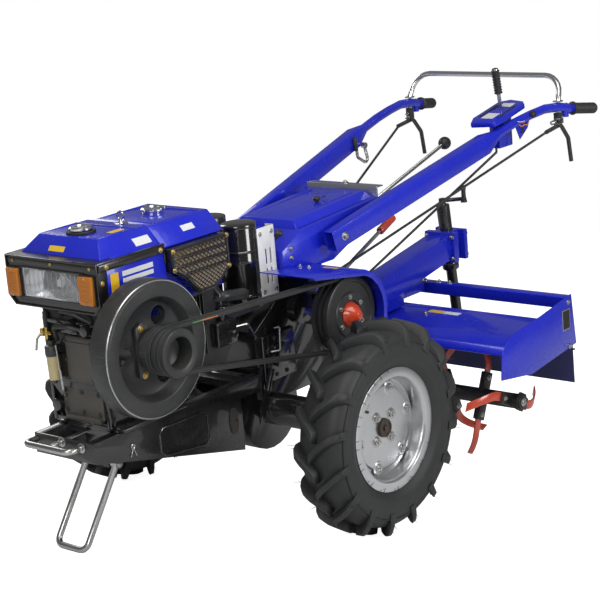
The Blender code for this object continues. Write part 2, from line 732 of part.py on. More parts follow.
def make_heat_shield():
    """Slotted plate beside the muffler, on two spacers."""
    plate_x = MUFFLER_AT.x + MUFFLER_R + 0.0015
    y0, y1 = (-0.030, 0.046)
    z0, z1 = (0.352, 0.568)
    plate = box((plate_x, y0, z0), (plate_x + 0.002, y1, z1))
    flange = box((plate_x - 0.030, y1 - 0.002, z0), (plate_x + 0.001, y1, z1))
    outer = MUFFLER_R + SEAT
    spacer_y = -0.020
    reach = math.sqrt(outer ** 2 - (spacer_y - MUFFLER_AT.y) ** 2)
    spacers = [box((MUFFLER_AT.x + reach - 0.004, spacer_y - 0.006, z), (plate_x + 0.001, spacer_y + 0.006, z + 0.012))
               for z in (0.372, 0.540)]
    slots = []
    for low_z in (0.395, 0.455):
        for low_y in (0.0, 0.020):
            slots.append(box((plate_x - 0.005, low_y, low_z), (plate_x + 0.005, low_y + 0.006, low_z + 0.046)))
    room = post(MUFFLER_AT, MUFFLER_R + SEAT, 0.30, 0.62, 64)
    band_room = post(MUFFLER_AT, MUFFLER_R + 0.003 + SEAT, 0.464, 0.484, 64)
    piece("heat_shield", STATIONARY, "white_sheet", plate, [flange] + spacers, [room, band_room] + slots)


def make_air_cleaner():
    at = Vector((-0.080, -0.012))
    bowl = post(at, 0.058, 0.430, 0.588, ROUND)
    neck = post(at - Vector((0.0, 0.008)), 0.022, 0.390 + SEAT, 0.440, 20)
    piece("air_cleaner", STATIONARY, "black_paint", bowl, [neck])


def make_fuel_filter():
    at = Vector((-0.160, -0.610))
    body = post(at, 0.020, 0.330, 0.425, 16)
    arm = box((at.x, at.y - 0.010, 0.385), (-CRANKCASE_HALF_W - SEAT, at.y + 0.010, 0.405))
    piece("fuel_filter", STATIONARY, "dark_iron", body, [arm])


def make_flywheel():
    """Heavy ring with a recessed web and the crankshaft's stub."""
    x0, x1 = FLYWHEEL_X
    w0, w1 = FLYWHEEL_WEB_X
    ring_in = FLYWHEEL_R - FLYWHEEL_RIM
    crank_end = CRANKCASE_HALF_W + RUNNING_GAP
    profile = [
        (x1, ring_in), (x1, FLYWHEEL_R), (x0, FLYWHEEL_R), (x0, ring_in), (w0, ring_in - 0.006),
        (w0, 0.045), (crank_end, 0.045), (crank_end, 0.0), (PULLEY_X[0] - SEAT, 0.0),
        (PULLEY_X[0] - SEAT, 0.052), (w1, 0.052), (w1, ring_in - 0.006),
    ]
    centre = (CRANK_Y, CRANK_Z)
    holes = []
    for degrees in (60, 180, 300):
        angle = math.radians(degrees)
        at = (CRANK_Y + 0.098 * math.cos(angle), CRANK_Z + 0.098 * math.sin(angle))
        holes.append(disc(w0 - 0.01, w1 + 0.01, 0.026, at, 20))
    piece("flywheel", "flywheel_set", "dark_iron", lathe(profile, centre, ROUND + 4), (), holes)


def pulley_profile(x0, x1, rim_r, hollow_r, hollow_depth):
    """A wheel with a belt groove as wide as the belts, and a hollow outer end."""
    groove_r = rim_r - GROOVE_DEPTH
    g0 = BELT_X[0] - 0.0015
    g1 = BELT_X[1] + 0.0015
    return [
        (x0, 0.0), (x0, rim_r), (g0, rim_r), (g0, groove_r), (g1, groove_r), (g1, rim_r),
        (x1, rim_r), (x1, hollow_r), (x1 - hollow_depth, hollow_r), (x1 - hollow_depth, 0.0),
    ]


def make_engine_pulley():
    profile = pulley_profile(PULLEY_X[0], PULLEY_X[1], PULLEY_RIM_R, 0.044, 0.050)
    piece("engine_pulley", "flywheel_set", "dark_iron", lathe(profile, (CRANK_Y, CRANK_Z)))


def make_clutch_pulley():
    centre = (CLUTCH_Y, CLUTCH_Z)
    shape = lathe(pulley_profile(CLUTCH_X[0], CLUTCH_X[1], CLUTCH_R, 0.105, 0.008), centre)
    shaft = disc(GEARBOX_HALF_W + 0.030 + RUNNING_GAP, CLUTCH_X[0] + 0.002, CLUTCH_SHAFT_R, centre, 24)
    piece("clutch_pulley", "clutch_set", "black_paint", shape, [shaft])
    hub_x = CLUTCH_X[1] - 0.008 + SEAT
    piece("clutch_cap", "clutch_set", "orange_paint",
          lathe([(hub_x, 0.0), (hub_x, 0.040), (hub_x + 0.020, 0.032), (hub_x + 0.042, 0.012),
                 (hub_x + 0.042, 0.0)], centre, 18))


def belt_side(radius_one, radius_two, steps=12):
    """The outline of a belt, (Y, Z), round the engine pulley and the clutch pulley."""
    one = Vector((CRANK_Y, CRANK_Z))
    two = Vector((CLUTCH_Y, CLUTCH_Z))
    apart = two - one
    lean = math.atan2(apart.y, apart.x)
    open_angle = math.acos((radius_one - radius_two) / apart.length)
    points = []
    for centre, radius, start, end in (
            (one, radius_one, lean + open_angle, lean + 2 * math.pi - open_angle),
            (two, radius_two, lean - open_angle, lean + open_angle)):
        for i in range(steps + 1):
            angle = start + (end - start) * i / steps
            points.append(centre + radius * Vector((math.cos(angle), math.sin(angle))))
    return points


def make_drive_belts():
    flat = 1 / math.cos(math.pi / 22)   # keeps the belt's straight facets clear of the grooves
    inner_one = (PULLEY_RIM_R - GROOVE_DEPTH) * flat + SEAT
    inner_two = (CLUTCH_R - GROOVE_DEPTH) * flat + SEAT
    inner = belt_side(inner_one, inner_two)
    outer = belt_side(inner_one + BELT_THICK, inner_two + BELT_THICK)
    bm = bmesh.new()
    loops = []
    for x in BELT_X:
        for outline in (outer, inner):
            loops.append([bm.verts.new((x, point.x, point.y)) for point in outline])
    count = len(outer)
    for one, two in ((0, 1), (1, 3), (3, 2), (2, 0)):
        for i in range(count):
            j = (i + 1) % count
            bm.faces.new((loops[one][i], loops[one][j], loops[two][j], loops[two][i]))
    piece("drive_belts", STATIONARY, "belt_rubber", closed(bm))


def make_belt_guard():
    """Sheet cover that curls over and down behind the clutch pulley."""
    guard_r = CLUTCH_R + GUARD_GAP
    curve = []
    for degrees in range(90, -36, -18):
        angle = math.radians(degrees)
        curve.append((CLUTCH_Y + guard_r * math.cos(angle), CLUTCH_Z + guard_r * math.sin(angle)))
    top_z = CLUTCH_Z + guard_r
    path = [(-0.055, top_z + 0.026)] + curve
    outer = [Vector(p) for p in path]
    inner = []
    for i, point in enumerate(outer):
        before = outer[max(i - 1, 0)]
        after = outer[min(i + 1, len(outer) - 1)]
        along = (after - before).normalized()
        inner.append(point + Vector((along.y, -along.x)) * GUARD_SHEET)
    outline = outer + inner[::-1]
    sheet = prism(outline, *GUARD_X)
    lip_outline = outer + [point + (Vector((CLUTCH_Y, CLUTCH_Z)) - point).normalized() * GUARD_LIP
                           for point in outer[::-1]]
    lip = prism(lip_outline, GUARD_X[1] - GUARD_SHEET, GUARD_X[1])
    foot = box((GEARBOX_HALF_W + SEAT, 0.200, 0.372), (0.1555, 0.232, 0.398))
    upright_top = CLUTCH_Z + math.sqrt(guard_r ** 2 - (0.216 - CLUTCH_Y) ** 2) + 0.0017
    upright = box((0.150, 0.200, 0.372), (0.1565, 0.232, upright_top))
    piece("belt_guard", STATIONARY, "blue_paint", sheet, [lip, foot, upright])


# ---------------------------------------------------------------- gearbox

def make_gearbox():
    """Upper case, final drive and the axle tubes that carry the wheels."""
    y0, y1 = GEARBOX_Y
    half = GEARBOX_HALF_W
    shelf_y = BOX_Y[0] + 0.005
    upper = prism([(y0, 0.060), (y0, 0.250), (shelf_y, 0.330), (shelf_y, GEARBOX_TOP_Z), (y1, GEARBOX_TOP_Z),
                   (y1, 0.020), (y0 + 0.06, 0.020)], -half, half)
    drive = disc(-0.100, 0.100, FINAL_DRIVE_R, (0.0, 0.0))
    tubes = disc(-AXLE_TUBE_END_X, AXLE_TUBE_END_X, AXLE_TUBE_R, (0.0, 0.0), 24)
    bearing = disc(-half - 0.010, half + 0.030, CLUTCH_SHAFT_R + 0.022, (CLUTCH_Y, CLUTCH_Z), 24)
    turret = box((-0.030, y1 - 0.004, TURRET_TOP_Z - 0.072), (0.030, TURRET_Y, TURRET_TOP_Z))
    selector = box((SELECTOR_X - 0.024, y1 - 0.004, SELECTOR_Z[0]), (SELECTOR_X + 0.024, SELECTOR_Y, SELECTOR_Z[1]))
    bosses = [box((s * BOSS_X - BOSS_HALF, y1 - 0.050, z - BOSS_HALF), (s * BOSS_X + BOSS_HALF, y1, z + BOSS_HALF))
              for s, z in ((1, UPPER_BOSS_Z), (-1, LOWER_BOSS_Z), (1, LOWER_BOSS_Z))]
    front = box((-FRAME_HALF_W, y0, 0.040), (FRAME_HALF_W, y0 + 0.014, FRAME_TOP_Z + 0.020))
    rear_flange = box((-0.095, y1 - 0.002, 0.030), (0.095, y1 + 0.014, 0.200))
    piece("gearbox", STATIONARY, "black_paint", upper,
          [drive, tubes, bearing, turret, selector, front, rear_flange] + bosses)


# ---------------------------------------------------------------- handle bars and controls

def box_outline(wall, top_wall):
    """The tool box's side, (Y, Z), drawn in by its wall and by the sheet on top."""
    floor = GEARBOX_TOP_Z + SEAT + wall
    y0 = BOX_Y[0] + wall
    y1 = BOX_Y[1] - wall
    return [(y0, floor), (BOX_FLOOR_BEND_Y, floor), (y1, BOX_FLOOR_REAR_Z + wall),
            (y1, BOX_REAR_Z - top_wall), (BOX_HINGE_Y, BOX_HINGE_Z - top_wall),
            (y0, BOX_FRONT_Z - top_wall)]


def make_tool_box():
    """Open sheet box on the gearbox, with the pads that carry the handle bars."""
    shell = prism(box_outline(0.0, 0.0), -BOX_HALF_W, BOX_HALF_W)
    inner_half = BOX_HALF_W - BOX_WALL
    room = prism(box_outline(BOX_WALL, BOX_TOP_SHEET), -inner_half, inner_half)
    mouth_half = inner_half - BOX_RIM
    mouth = box((-mouth_half, BOX_HINGE_Y + BOX_RIM, BOX_FLOOR_REAR_Z - BOX_TOP_SHEET),
                (mouth_half, BOX_Y[1] - BOX_WALL - BOX_RIM, BOX_REAR_Z + BOX_RIM))
    arm_face_x = ARM_FRONT.x - ARM_W / 2 - SEAT
    pad = box((BOX_HALF_W - 0.001, 0.262, 0.452), (arm_face_x, 0.330, 0.496))
    piece("tool_box", STATIONARY, "blue_paint", shell, [pad, mirrored(pad)], [room, mouth])


def make_handle_arms():
    """Square bar from the tool box that turns into a round tube for the grip."""
    rect = (ARM_W, ARM_H, False)
    tube_size = (2 * ARM_TUBE_R, 2 * ARM_TUBE_R, True)
    path = [ARM_FRONT, ARM_SHOULDER] + ARM_TUBE_PATH
    sizes = [rect, rect] + [tube_size] * len(ARM_TUBE_PATH)
    for side in (1, -1):
        shape = hollow_sweep(path, sizes, ARM_WALL)
        if side < 0:
            shape = mirrored(shape)
        piece(f"handle_arm_{SIDE_NAMES[side]}", STATIONARY, "blue_paint", shape)
        start = ARM_TUBE_PATH[-1]
        ahead = (start - ARM_TUBE_PATH[-2]).normalized()
        along = (GRIP_END - start).normalized()
        grip_path = [start + ahead * SEAT, start + ahead * 0.008, start + along * 0.020,
                     GRIP_END - along * 0.006, GRIP_END]
        grip = tube(grip_path, [GRIP_R + 0.003, GRIP_R + 0.003, GRIP_R, GRIP_R, GRIP_R - 0.003], 16)
        if side < 0:
            grip = mirrored(grip)
        piece(f"grip_{SIDE_NAMES[side]}", STATIONARY, "grip_plastic", grip)


def make_crossbar():
    foot_x, foot_y, tube_z = ARM_TUBE_PATH[4]
    foot_z = tube_z + ARM_TUBE_R + 0.0018
    top = CROSSBAR_TOP
    foot_left = (foot_x, foot_y, foot_z + 0.002)
    foot_right = (-foot_x, foot_y, foot_z + 0.002)
    path = rounded([foot_left, (foot_x - 0.008, top.y, top.z), (-foot_x + 0.008, top.y, top.z), foot_right],
                   CROSSBAR_BEND_R, 6)
    feet = [box((s * foot_x - 0.013, foot_y - 0.013, foot_z), (s * foot_x + 0.013, foot_y + 0.013, foot_z + 0.005))
            for s in (1, -1)]
    level = box((-0.4, 1.2, foot_z - 0.02), (0.4, 1.6, foot_z))
    piece("crossbar", STATIONARY, "bright_steel", tube(path, CROSSBAR_R), feet, [level])


def make_cross_strap():
    """Steel strap across the back of the tool box, from arm to arm."""
    z = BOX_REAR_Z + LID_HEIGHT + 0.010
    y0, y1 = (BOX_Y[1] + SEAT, BOX_Y[1] + 0.040)
    half = arm_inner_x(y0) - SEAT
    plate = box((-half, y0, BOX_REAR_Z - 0.020), (half, y1, BOX_REAR_Z - 0.016))
    back = box((-0.145, y0, BOX_REAR_Z - 0.020), (0.145, y0 + 0.004, z))
    hood = box((-0.145, y0, z - 0.004), (0.145, y1 - 0.006, z))
    piece("cross_strap", STATIONARY, "dark_iron", plate, [back, hood])


def arm_inner_x(y):
    """The inner face of the left arm's square bar at a place along it."""
    flare = (ARM_SHOULDER.x - ARM_FRONT.x) / (ARM_SHOULDER.y - ARM_FRONT.y)
    return ARM_FRONT.x + flare * (y - ARM_FRONT.y) - ARM_W / 2 * math.hypot(1.0, flare)


def lid_shell(inset, overrun):
    """The lid's raised shape, drawn in by the sheet, its base lowered by overrun."""
    rise = (BOX_REAR_Z - BOX_HINGE_Z) / (BOX_Y[1] - BOX_HINGE_Y)
    points = []
    for y, inwards in ((BOX_HINGE_Y + LID_FRONT_GAP, 1), (BOX_Y[1] - LID_REAR_GAP, -1)):
        z = BOX_HINGE_Z + SEAT + rise * (y - BOX_HINGE_Y)
        for s in (1, -1):
            points.append((s * (LID_HALF_W - inset), y + inwards * inset, z - overrun))
            points.append((s * (LID_HALF_W - LID_SLOPE[0] - inset), y + inwards * (LID_SLOPE[1] + inset),
                           z + LID_HEIGHT - inset))
    return hull(points)


def make_box_lid():
    """Raised sheet lid, hinged along its front edge."""
    piece("tool_box_lid", "box_lid", "blue_paint", lid_shell(0.0, 0.0), (), [lid_shell(LID_SHEET, 0.001)])


def make_dash_panel():
    """Control plate above the left arm, with the bracket that holds it."""
    outline = [(-0.036, -0.120), (0.050, -0.104), (0.056, -0.060), (0.056, 0.080), (0.036, 0.104),
               (-0.020, 0.116), (-0.056, 0.090), (-0.058, -0.070)]
    plate = prism(outline, -DASH_THICK / 2, DASH_THICK / 2, "Z")
    turn = Matrix.Translation(DASH_CENTRE) @ Matrix.Rotation(math.radians(DASH_TILT), 4, "X")
    bmesh.ops.transform(plate, matrix=turn, verts=plate.verts[:])
    bracket = box((DASH_CENTRE.x - 0.012, 1.090, DASH_BRACKET_Z), (0.2655, 1.170, DASH_CENTRE.z - 0.002))
    piece("dash_panel", STATIONARY, "blue_paint", plate, [bracket])


def make_levers():
    # clutch lever above the dash
    base = DASH_CENTRE + Vector((0.0, 0.015, 0.0132))
    top = CLUTCH_LEVER_TOP
    along = (top - base).normalized()
    grip = tube([top - along * 0.076, top], 0.011)
    piece("clutch_lever", STATIONARY, "grip_plastic", tube([base, top - along * 0.070], LEVER_R), [grip])
    # gear lever on its turret behind the gearbox
    ball = GEAR_BALL
    foot = Vector((0.0, TURRET_Y - 0.014, TURRET_TOP_Z + SEAT + 0.007))
    along = (ball - foot).normalized()
    knob = tube([ball - along * 0.020, ball - along * 0.014, ball, ball + along * 0.014, ball + along * 0.020],
                [0.010, 0.016, GEAR_BALL_R, 0.016, 0.008], 14)
    base = box((-0.014, TURRET_Y - 0.028, TURRET_TOP_Z + SEAT), (0.014, TURRET_Y - 0.002, TURRET_TOP_Z + 0.010))
    piece("gear_lever", STATIONARY, "bright_steel", tube([foot, ball - along * 0.010], LEVER_R), [knob, base])
    # tiller drive lever
    foot = Vector((SELECTOR_X, SELECTOR_Y + SEAT, SELECTOR_Z[0] + 0.0135))
    top = SELECTOR_LEVER_TOP
    along = (top - foot).normalized()
    grip = tube([top - along * 0.070, top], 0.0105)
    pad = box((SELECTOR_X - 0.010, SELECTOR_Y + SEAT, SELECTOR_Z[0] + 0.004),
              (SELECTOR_X + 0.010, SELECTOR_Y + 0.007, SELECTOR_Z[1] - 0.002))
    piece("tiller_drive_lever", STATIONARY, "orange_paint",
          tube([foot + along * 0.003, top - along * 0.060], LEVER_R), [grip, pad])
    # belt tension lever on the inside of the right arm
    x = -(arm_inner_x(0.995) - 0.012)
    pivot = Vector((x, 1.000, 0.620))
    hand = rounded([(x, 0.950, 0.655), (x, 0.955, 0.585), (x, 1.020, 0.545), (x, 1.000, 0.610)], 0.012, 3)
    boss = disc(-(arm_inner_x(0.990) - SEAT), x + 0.006, 0.010, (pivot.y, pivot.z), 16)
    piece("tension_lever", STATIONARY, "bright_steel", tube(hand, 0.0055), [boss])


def make_steering_levers():
    """Bracket under the arm's tube, the hand lever and the rod to the gearbox."""
    at = ARM_TUBE_PATH[4]
    # side, height of the boss that takes the rod
    for side, end_z in ((1, UPPER_BOSS_Z), (-1, LOWER_BOSS_Z)):
        mount = box((at.x - 0.010, at.y - 0.016, 0.640), (at.x + 0.010, at.y + 0.006, at.z - ARM_TUBE_R - 0.0020))
        lever = tube(rounded([(at.x, at.y - 0.085, 0.634), (at.x, at.y + 0.010, 0.646),
                              (at.x, at.y + 0.058, 0.590), (at.x, at.y + 0.072, 0.505)], 0.025, 4),
                     0.0075)
        rod = tube([(at.x, at.y - 0.078, 0.635), (BOSS_X, GEARBOX_Y[1] + 0.014, end_z),
                    (BOSS_X, GEARBOX_Y[1] + SEAT, end_z)], ROD_R, 8)
        parts = [lever, rod]
        if side < 0:
            mount = mirrored(mount)
            parts = [mirrored(part) for part in parts]
        piece(f"steering_lever_{SIDE_NAMES[side]}", STATIONARY, "dark_iron", mount, parts)


def make_rods():
    top = Vector((DASH_CENTRE.x, 1.110, DASH_BRACKET_Z - SEAT))
    piece("clutch_rod", STATIONARY, "dark_iron",
          tube([top, top - Vector((0, 0, 0.016)), (BOSS_X, GEARBOX_Y[1] + 0.014, LOWER_BOSS_Z),
                (BOSS_X, GEARBOX_Y[1] + SEAT, LOWER_BOSS_Z)], ROD_R, 8))
    start_y = 0.780
    start_x = -(arm_inner_x(start_y) + ARM_W + THROTTLE_R + 0.0014)
    path = rounded([(start_x, start_y, 0.560), (start_x, start_y - 0.090, 0.505), (-0.235, 0.300, 0.425),
                    (-0.180, 0.020, 0.360), (-0.160, -0.240, 0.330), (-CYLINDER_HALF_W - SEAT, -0.240, 0.330)],
                   0.030, 4)
    piece("throttle_cable", STATIONARY, "grip_plastic", tube(path, THROTTLE_R, 8))


# ---------------------------------------------------------------- tiller

def make_tiller_case():
    """Drive case from the gearbox's rear flange down to the rotor."""
    front_y = GEARBOX_Y[1] + 0.014 + SEAT
    flange = box((-0.095, front_y, 0.030), (0.095, front_y + 0.014, 0.200))
    upper = prism([(front_y, 0.040), (front_y, 0.190), (0.345, 0.190), (BEAM_START.y - 0.0077, 0.182),
                   (BEAM_START.y - 0.0077, 0.080), (0.460, 0.060), (0.460, -0.020), (0.400, -0.020)],
                  -CASE_HALF_W - 0.020, CASE_HALF_W + 0.020)
    lower = prism([(0.380, -0.010), (0.420, 0.056), (0.520, 0.030), (ROTOR_Y + 0.040, ROTOR_Z + 0.050),
                   (ROTOR_Y + 0.050, ROTOR_Z - 0.010), (ROTOR_Y + 0.020, ROTOR_Z - 0.055),
                   (ROTOR_Y - 0.045, ROTOR_Z - 0.045)], -CASE_HALF_W, CASE_HALF_W)
    bore = disc(-CASE_HALF_W - 0.03, CASE_HALF_W + 0.03, ROTOR_SHAFT_R + RUNNING_GAP, (ROTOR_Y, ROTOR_Z), 24)
    piece("tiller_case", STATIONARY, "black_paint", upper, [flange, lower], [bore])


def make_tiller_beam():
    """Square beam from the drive case to the clamp that holds the depth post."""
    size = (BEAM_SIZE, BEAM_SIZE, False)
    shape = hollow_sweep([BEAM_START, BEAM_END], [size, size], BEAM_WALL)
    clamp = box((-0.062, BEAM_END.y - 0.006, 0.200), (0.062, 1.158, 0.306))
    middle = box((-0.064, 1.100, 0.190), (-0.036, 1.140, 0.320))
    saddle = box((-0.034, 0.700, 0.1120), (0.034, 0.800, 0.175))
    axis = (POST_FOOT - POST_TOP).normalized()
    bore = tube([POST_TOP - axis * 0.02, POST_TOP + axis * 0.36], POST_R + SEAT, 24)
    piece("tiller_beam", STATIONARY, "blue_paint", shape, [clamp, saddle], [bore, middle, mirrored(middle)])


def make_depth_post():
    """Telescoping post with its crank on top and a skid at its foot."""
    axis = (POST_FOOT - POST_TOP).normalized()
    step = POST_TOP + axis * ((POST_TOP.z - POST_STEP_Z) / -axis.z)
    upper = tube([POST_TOP, step], POST_R, 24)
    lower = tube([step - axis * 0.01, POST_FOOT], POST_LOWER_R, 24)
    skid = box((-0.030, POST_FOOT.y - 0.075, POST_FOOT.z - 0.006), (0.030, POST_FOOT.y + 0.095, POST_FOOT.z + 0.004))
    hub = POST_TOP - axis * 0.016
    crank_end = hub + Vector((0.072, 0.030, 0.006))
    crank = tube([hub - Vector((0.010, 0.004, 0.0)), crank_end], 0.007, 10)
    stem = tube([POST_TOP + axis * 0.01, POST_TOP - axis * 0.024], 0.012, 14)
    knob = tube([crank_end - Vector((0, 0, 0.012)), crank_end + Vector((0, 0, 0.008)),
                 crank_end + Vector((0, 0, 0.030)), crank_end + Vector((0, 0, 0.046))],
                [0.012, 0.008, 0.008, 0.012], 12)
    piece("depth_post", STATIONARY, "black_paint", upper, [lower, skid, stem, crank, knob])


def hood_curve():
    """The cover's cross-section, (Y, Z), from its front edge to its rear edge."""
    return [(0.607, 0.049), (0.622, 0.070), (0.648, 0.086), (0.690, 0.098), (0.760, 0.106), (0.840, 0.111)]


def sheet_outline(curve, thickness):
    """An outline for a sheet whose outer side follows a curve from front to rear."""
    outer = [Vector(point) for point in curve]
    inner = []
    for i, point in enumerate(outer):
        before = outer[max(i - 1, 0)]
        after = outer[min(i + 1, len(outer) - 1)]
        along = (after - before).normalized()
        inner.append(point + Vector((along.y, -along.x)) * thickness)
    return outer + inner[::-1]


def make_tiller_hood():
    """Curved cover, end plates and rear bar, welded as one."""
    cover = prism(sheet_outline(hood_curve(), SHEET), -TILLER_HALF_W + 0.001, TILLER_HALF_W - 0.001)
    side_plate = [(0.607, 0.049), (0.637, 0.083), (0.690, 0.104), (0.839, 0.117), (1.037, 0.145),
                  (1.057, -0.030), (0.775, -0.059), (0.600, -0.031)]
    left = prism(side_plate, TILLER_HALF_W - SHEET, TILLER_HALF_W)
    bar = box((-TILLER_HALF_W + 0.001, REAR_BAR_Y - 0.040, REAR_BAR_Z - 0.038),
              (TILLER_HALF_W - 0.001, REAR_BAR_Y, REAR_BAR_Z))
    gusset = prism([(0.800, 0.1065), (0.838, 0.1090), (0.8401, 0.1122), (1.000, 0.1122), (1.000, 0.141),
                    (0.900, 0.141), (0.800, 0.113)], -0.050, -0.020)
    piece("tiller_hood", STATIONARY, "blue_paint", cover, [left, mirrored(left), bar, gusset])


def make_tiller_flap():
    """Levelling board from the cover's rear edge."""
    curve = [(0.8418, 0.1105), (0.930, 0.078), (1.005, 0.030), (1.043, -0.035), (1.046, -0.167)]
    half = TILLER_HALF_W - SHEET - 0.002
    piece("tiller_flap", STATIONARY, "blue_paint", prism(sheet_outline(curve, 0.003), -half, half))


def blade(x, degrees, bend):
    """One curved blade. bend is +1 or -1, the side its tip turns to."""
    # distance from the axis, offset along the turn, offset along the shaft
    stations = [(0.036, 0.0, 0.0), (0.125, 0.0, 0.0), (0.170, 0.020, 0.016), (BLADE_R - 0.012, 0.058, 0.046)]
    angle = math.radians(degrees)
    out = Vector((0, math.cos(angle), math.sin(angle)))
    turn = Vector((0, -math.sin(angle), math.cos(angle)))
    across = Vector((1, 0, 0))
    centre = Vector((x, ROTOR_Y, ROTOR_Z))
    sections = []
    for i, (reach, lag, shift) in enumerate(stations):
        middle = centre + out * reach + turn * (lag - BLADE_W / 2) + across * shift * bend
        tilt = i / (len(stations) - 1) * math.radians(50)
        thick = (across * math.cos(tilt) - out * math.sin(tilt) * bend) * BLADE_THICK / 2
        wide = turn * BLADE_W
        sections.append([middle - thick, middle + thick, middle + thick + wide, middle - thick + wide])
    return strip(sections)


def make_tiller_rotor():
    """Shaft with its blade holders and sixteen curved blades."""
    end_x = TILLER_HALF_W - ROTOR_END_GAP
    shaft = disc(-end_x, end_x, ROTOR_SHAFT_R, (ROTOR_Y, ROTOR_Z), 20)
    first_x = CASE_HALF_W + HOLDER_ENDS[0]
    last_x = TILLER_HALF_W - HOLDER_ENDS[1]
    # place between the first holder and the last, angle of its first blade, side its tips turn to
    holders = [(0.0, 20, 1), (0.325, 110, 1), (0.678, 65, -1), (1.0, 155, -1)]
    parts = []
    for side in (1, -1):
        for place, degrees, bend in holders:
            x = first_x + place * (last_x - first_x)
            for turn in (0, 180):
                angle = degrees + turn if side > 0 else degrees + turn + 45
                parts.append(blade(side * x, angle, side * bend))
            parts.append(disc(side * x - 0.014, side * x + 0.014, 0.042, (ROTOR_Y, ROTOR_Z), 12))
    piece("tiller_rotor", "rotor", "orange_paint", shaft, parts)


# ---------------------------------------------------------------- assembly

def standing_pitch():
    """The nose-down angle at which the tyres and the stand's foot meet the floor."""
    foot = STAND_FOOT
    reach = math.hypot(foot.y, foot.z)
    lean = math.atan2(foot.y, foot.z)
    return lean + math.acos((STAND_TUBE_R - WHEEL_R) / reach)


def footprint_middle():
    """Middle of the whole machine's box in X and Y, with the root's turn applied."""
    bpy.context.view_layer.update()
    graph = bpy.context.evaluated_depsgraph_get()
    xs = []
    ys = []
    for item in bpy.data.objects:
        if item.type != "MESH" or item.hide_render:
            continue
        ready = item.evaluated_get(graph)
        for vert in ready.data.vertices:
            place = ready.matrix_world @ vert.co
            xs.append(place.x)
            ys.append(place.y)
    return (min(xs) + max(xs)) / 2, (min(ys) + max(ys)) / 2


clear_scene()
SIDE_NAMES = {1: "left", -1: "right"}
SURFACES = {name: make_material(name) for name in MATERIALS}
ROOT = bpy.data.objects.new("root", None)
bpy.context.scene.collection.objects.link(ROOT)
EMPTIES = {}
for body_name, pivot_point in BODIES.items():
    empty = bpy.data.objects.new(f"{body_name}_axis", None)
    empty.location = pivot_point
    empty.parent = ROOT
    bpy.context.scene.collection.objects.link(empty)
    EMPTIES[body_name] = empty

make_wheel(1, "wheel_left")
make_wheel(-1, "wheel_right")
make_chassis_frame()
make_bumper_bar()
make_front_stand()
make_engine_block()
make_cylinder_head()
make_fuel_tank()
make_radiator()
make_caps()
make_side_panel()
make_grille()
make_lamp_housing()
make_lamps()
make_muffler()
make_heat_shield()
make_air_cleaner()
make_fuel_filter()
make_flywheel()
make_engine_pulley()
make_clutch_pulley()
make_drive_belts()
make_belt_guard()
make_gearbox()
make_tool_box()
make_box_lid()
make_cross_strap()
make_handle_arms()
make_crossbar()
make_dash_panel()
make_levers()
make_steering_levers()
make_rods()
make_tiller_case()
make_tiller_beam()
make_depth_post()
make_tiller_hood()
make_tiller_flap()
make_tiller_rotor()

ROOT.rotation_euler = (standing_pitch(), 0.0, 0.0)
middle_x, middle_y = footprint_middle()
ROOT.location = (-middle_x, -middle_y, WHEEL_R)
bpy.context.view_layer.update()
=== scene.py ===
# %% [markdown]
# # A walking tractor with its rotary tiller
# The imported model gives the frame: every body, its joints and its sizes. This
# lesson dresses that frame with edges, bolts, lugs, lamps and finishes. Each
# step says what the piece is on the machine and why it is made the way it is.

# %% Load the frame
import json
import math
from math import acos, atan2, copysign, cos, pi, radians, sin, tan

import bpy
from mathutils import Matrix, Vector


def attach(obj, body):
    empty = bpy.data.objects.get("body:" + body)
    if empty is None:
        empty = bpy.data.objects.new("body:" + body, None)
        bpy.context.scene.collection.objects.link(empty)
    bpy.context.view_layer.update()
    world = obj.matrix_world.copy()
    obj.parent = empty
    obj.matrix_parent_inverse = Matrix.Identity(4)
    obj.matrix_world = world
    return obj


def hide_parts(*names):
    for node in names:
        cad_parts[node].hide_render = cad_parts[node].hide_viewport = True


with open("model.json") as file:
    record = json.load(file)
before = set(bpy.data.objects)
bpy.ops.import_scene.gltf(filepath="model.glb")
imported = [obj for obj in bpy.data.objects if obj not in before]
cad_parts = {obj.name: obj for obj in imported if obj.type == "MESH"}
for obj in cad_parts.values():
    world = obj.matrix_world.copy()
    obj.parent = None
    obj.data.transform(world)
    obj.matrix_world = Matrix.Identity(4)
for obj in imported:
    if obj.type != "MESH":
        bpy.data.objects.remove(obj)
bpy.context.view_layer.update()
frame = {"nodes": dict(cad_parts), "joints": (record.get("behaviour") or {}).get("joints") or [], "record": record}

NODES = frame["nodes"]

# %% [markdown]
# ## The machine's own level frame
# The tractor stands nose down on its wheels and front stand, but it is easier
# to think about level: the origin on the axle, Y to the rear, Z up. Two joints
# give the axle's place and the lean, and one matrix puts a level piece where
# it stands.

# %% Level frame
JOINTS = {joint["name"]: joint for joint in frame["joints"]}
AXLE = Vector(JOINTS["wheel_left_spin"]["pos_m"])
ROTOR = Vector(JOINTS["tiller_rotor_spin"]["pos_m"])
ROTOR_Y, ROTOR_Z = 0.747, -0.149          # the rotor's place in the level frame
LEAN = atan2(ROTOR.z - AXLE.z, ROTOR.y - AXLE.y) - atan2(ROTOR_Z, ROTOR_Y)
STANDING = Matrix.Translation((0.0, AXLE.y, AXLE.z)) @ Matrix.Rotation(LEAN, 4, "X")
LEVEL = STANDING.inverted()
WHEEL_X = AXLE.x
print("lean in degrees:", round(math.degrees(LEAN), 3), "axle:", [round(v, 4) for v in AXLE])

# %% [markdown]
# ## Working helpers
# Most operators act on whatever is selected, so each helper first clears the
# selection. A piece is built level, then `deliver` stands it up, writes its
# place into the mesh and hands it to a body.

# %% Selection and modifier helpers
WELD = 0.00002             # points nearer than this are one point, metres
FLAT = 0.6                 # faces that meet within this are one face, degrees


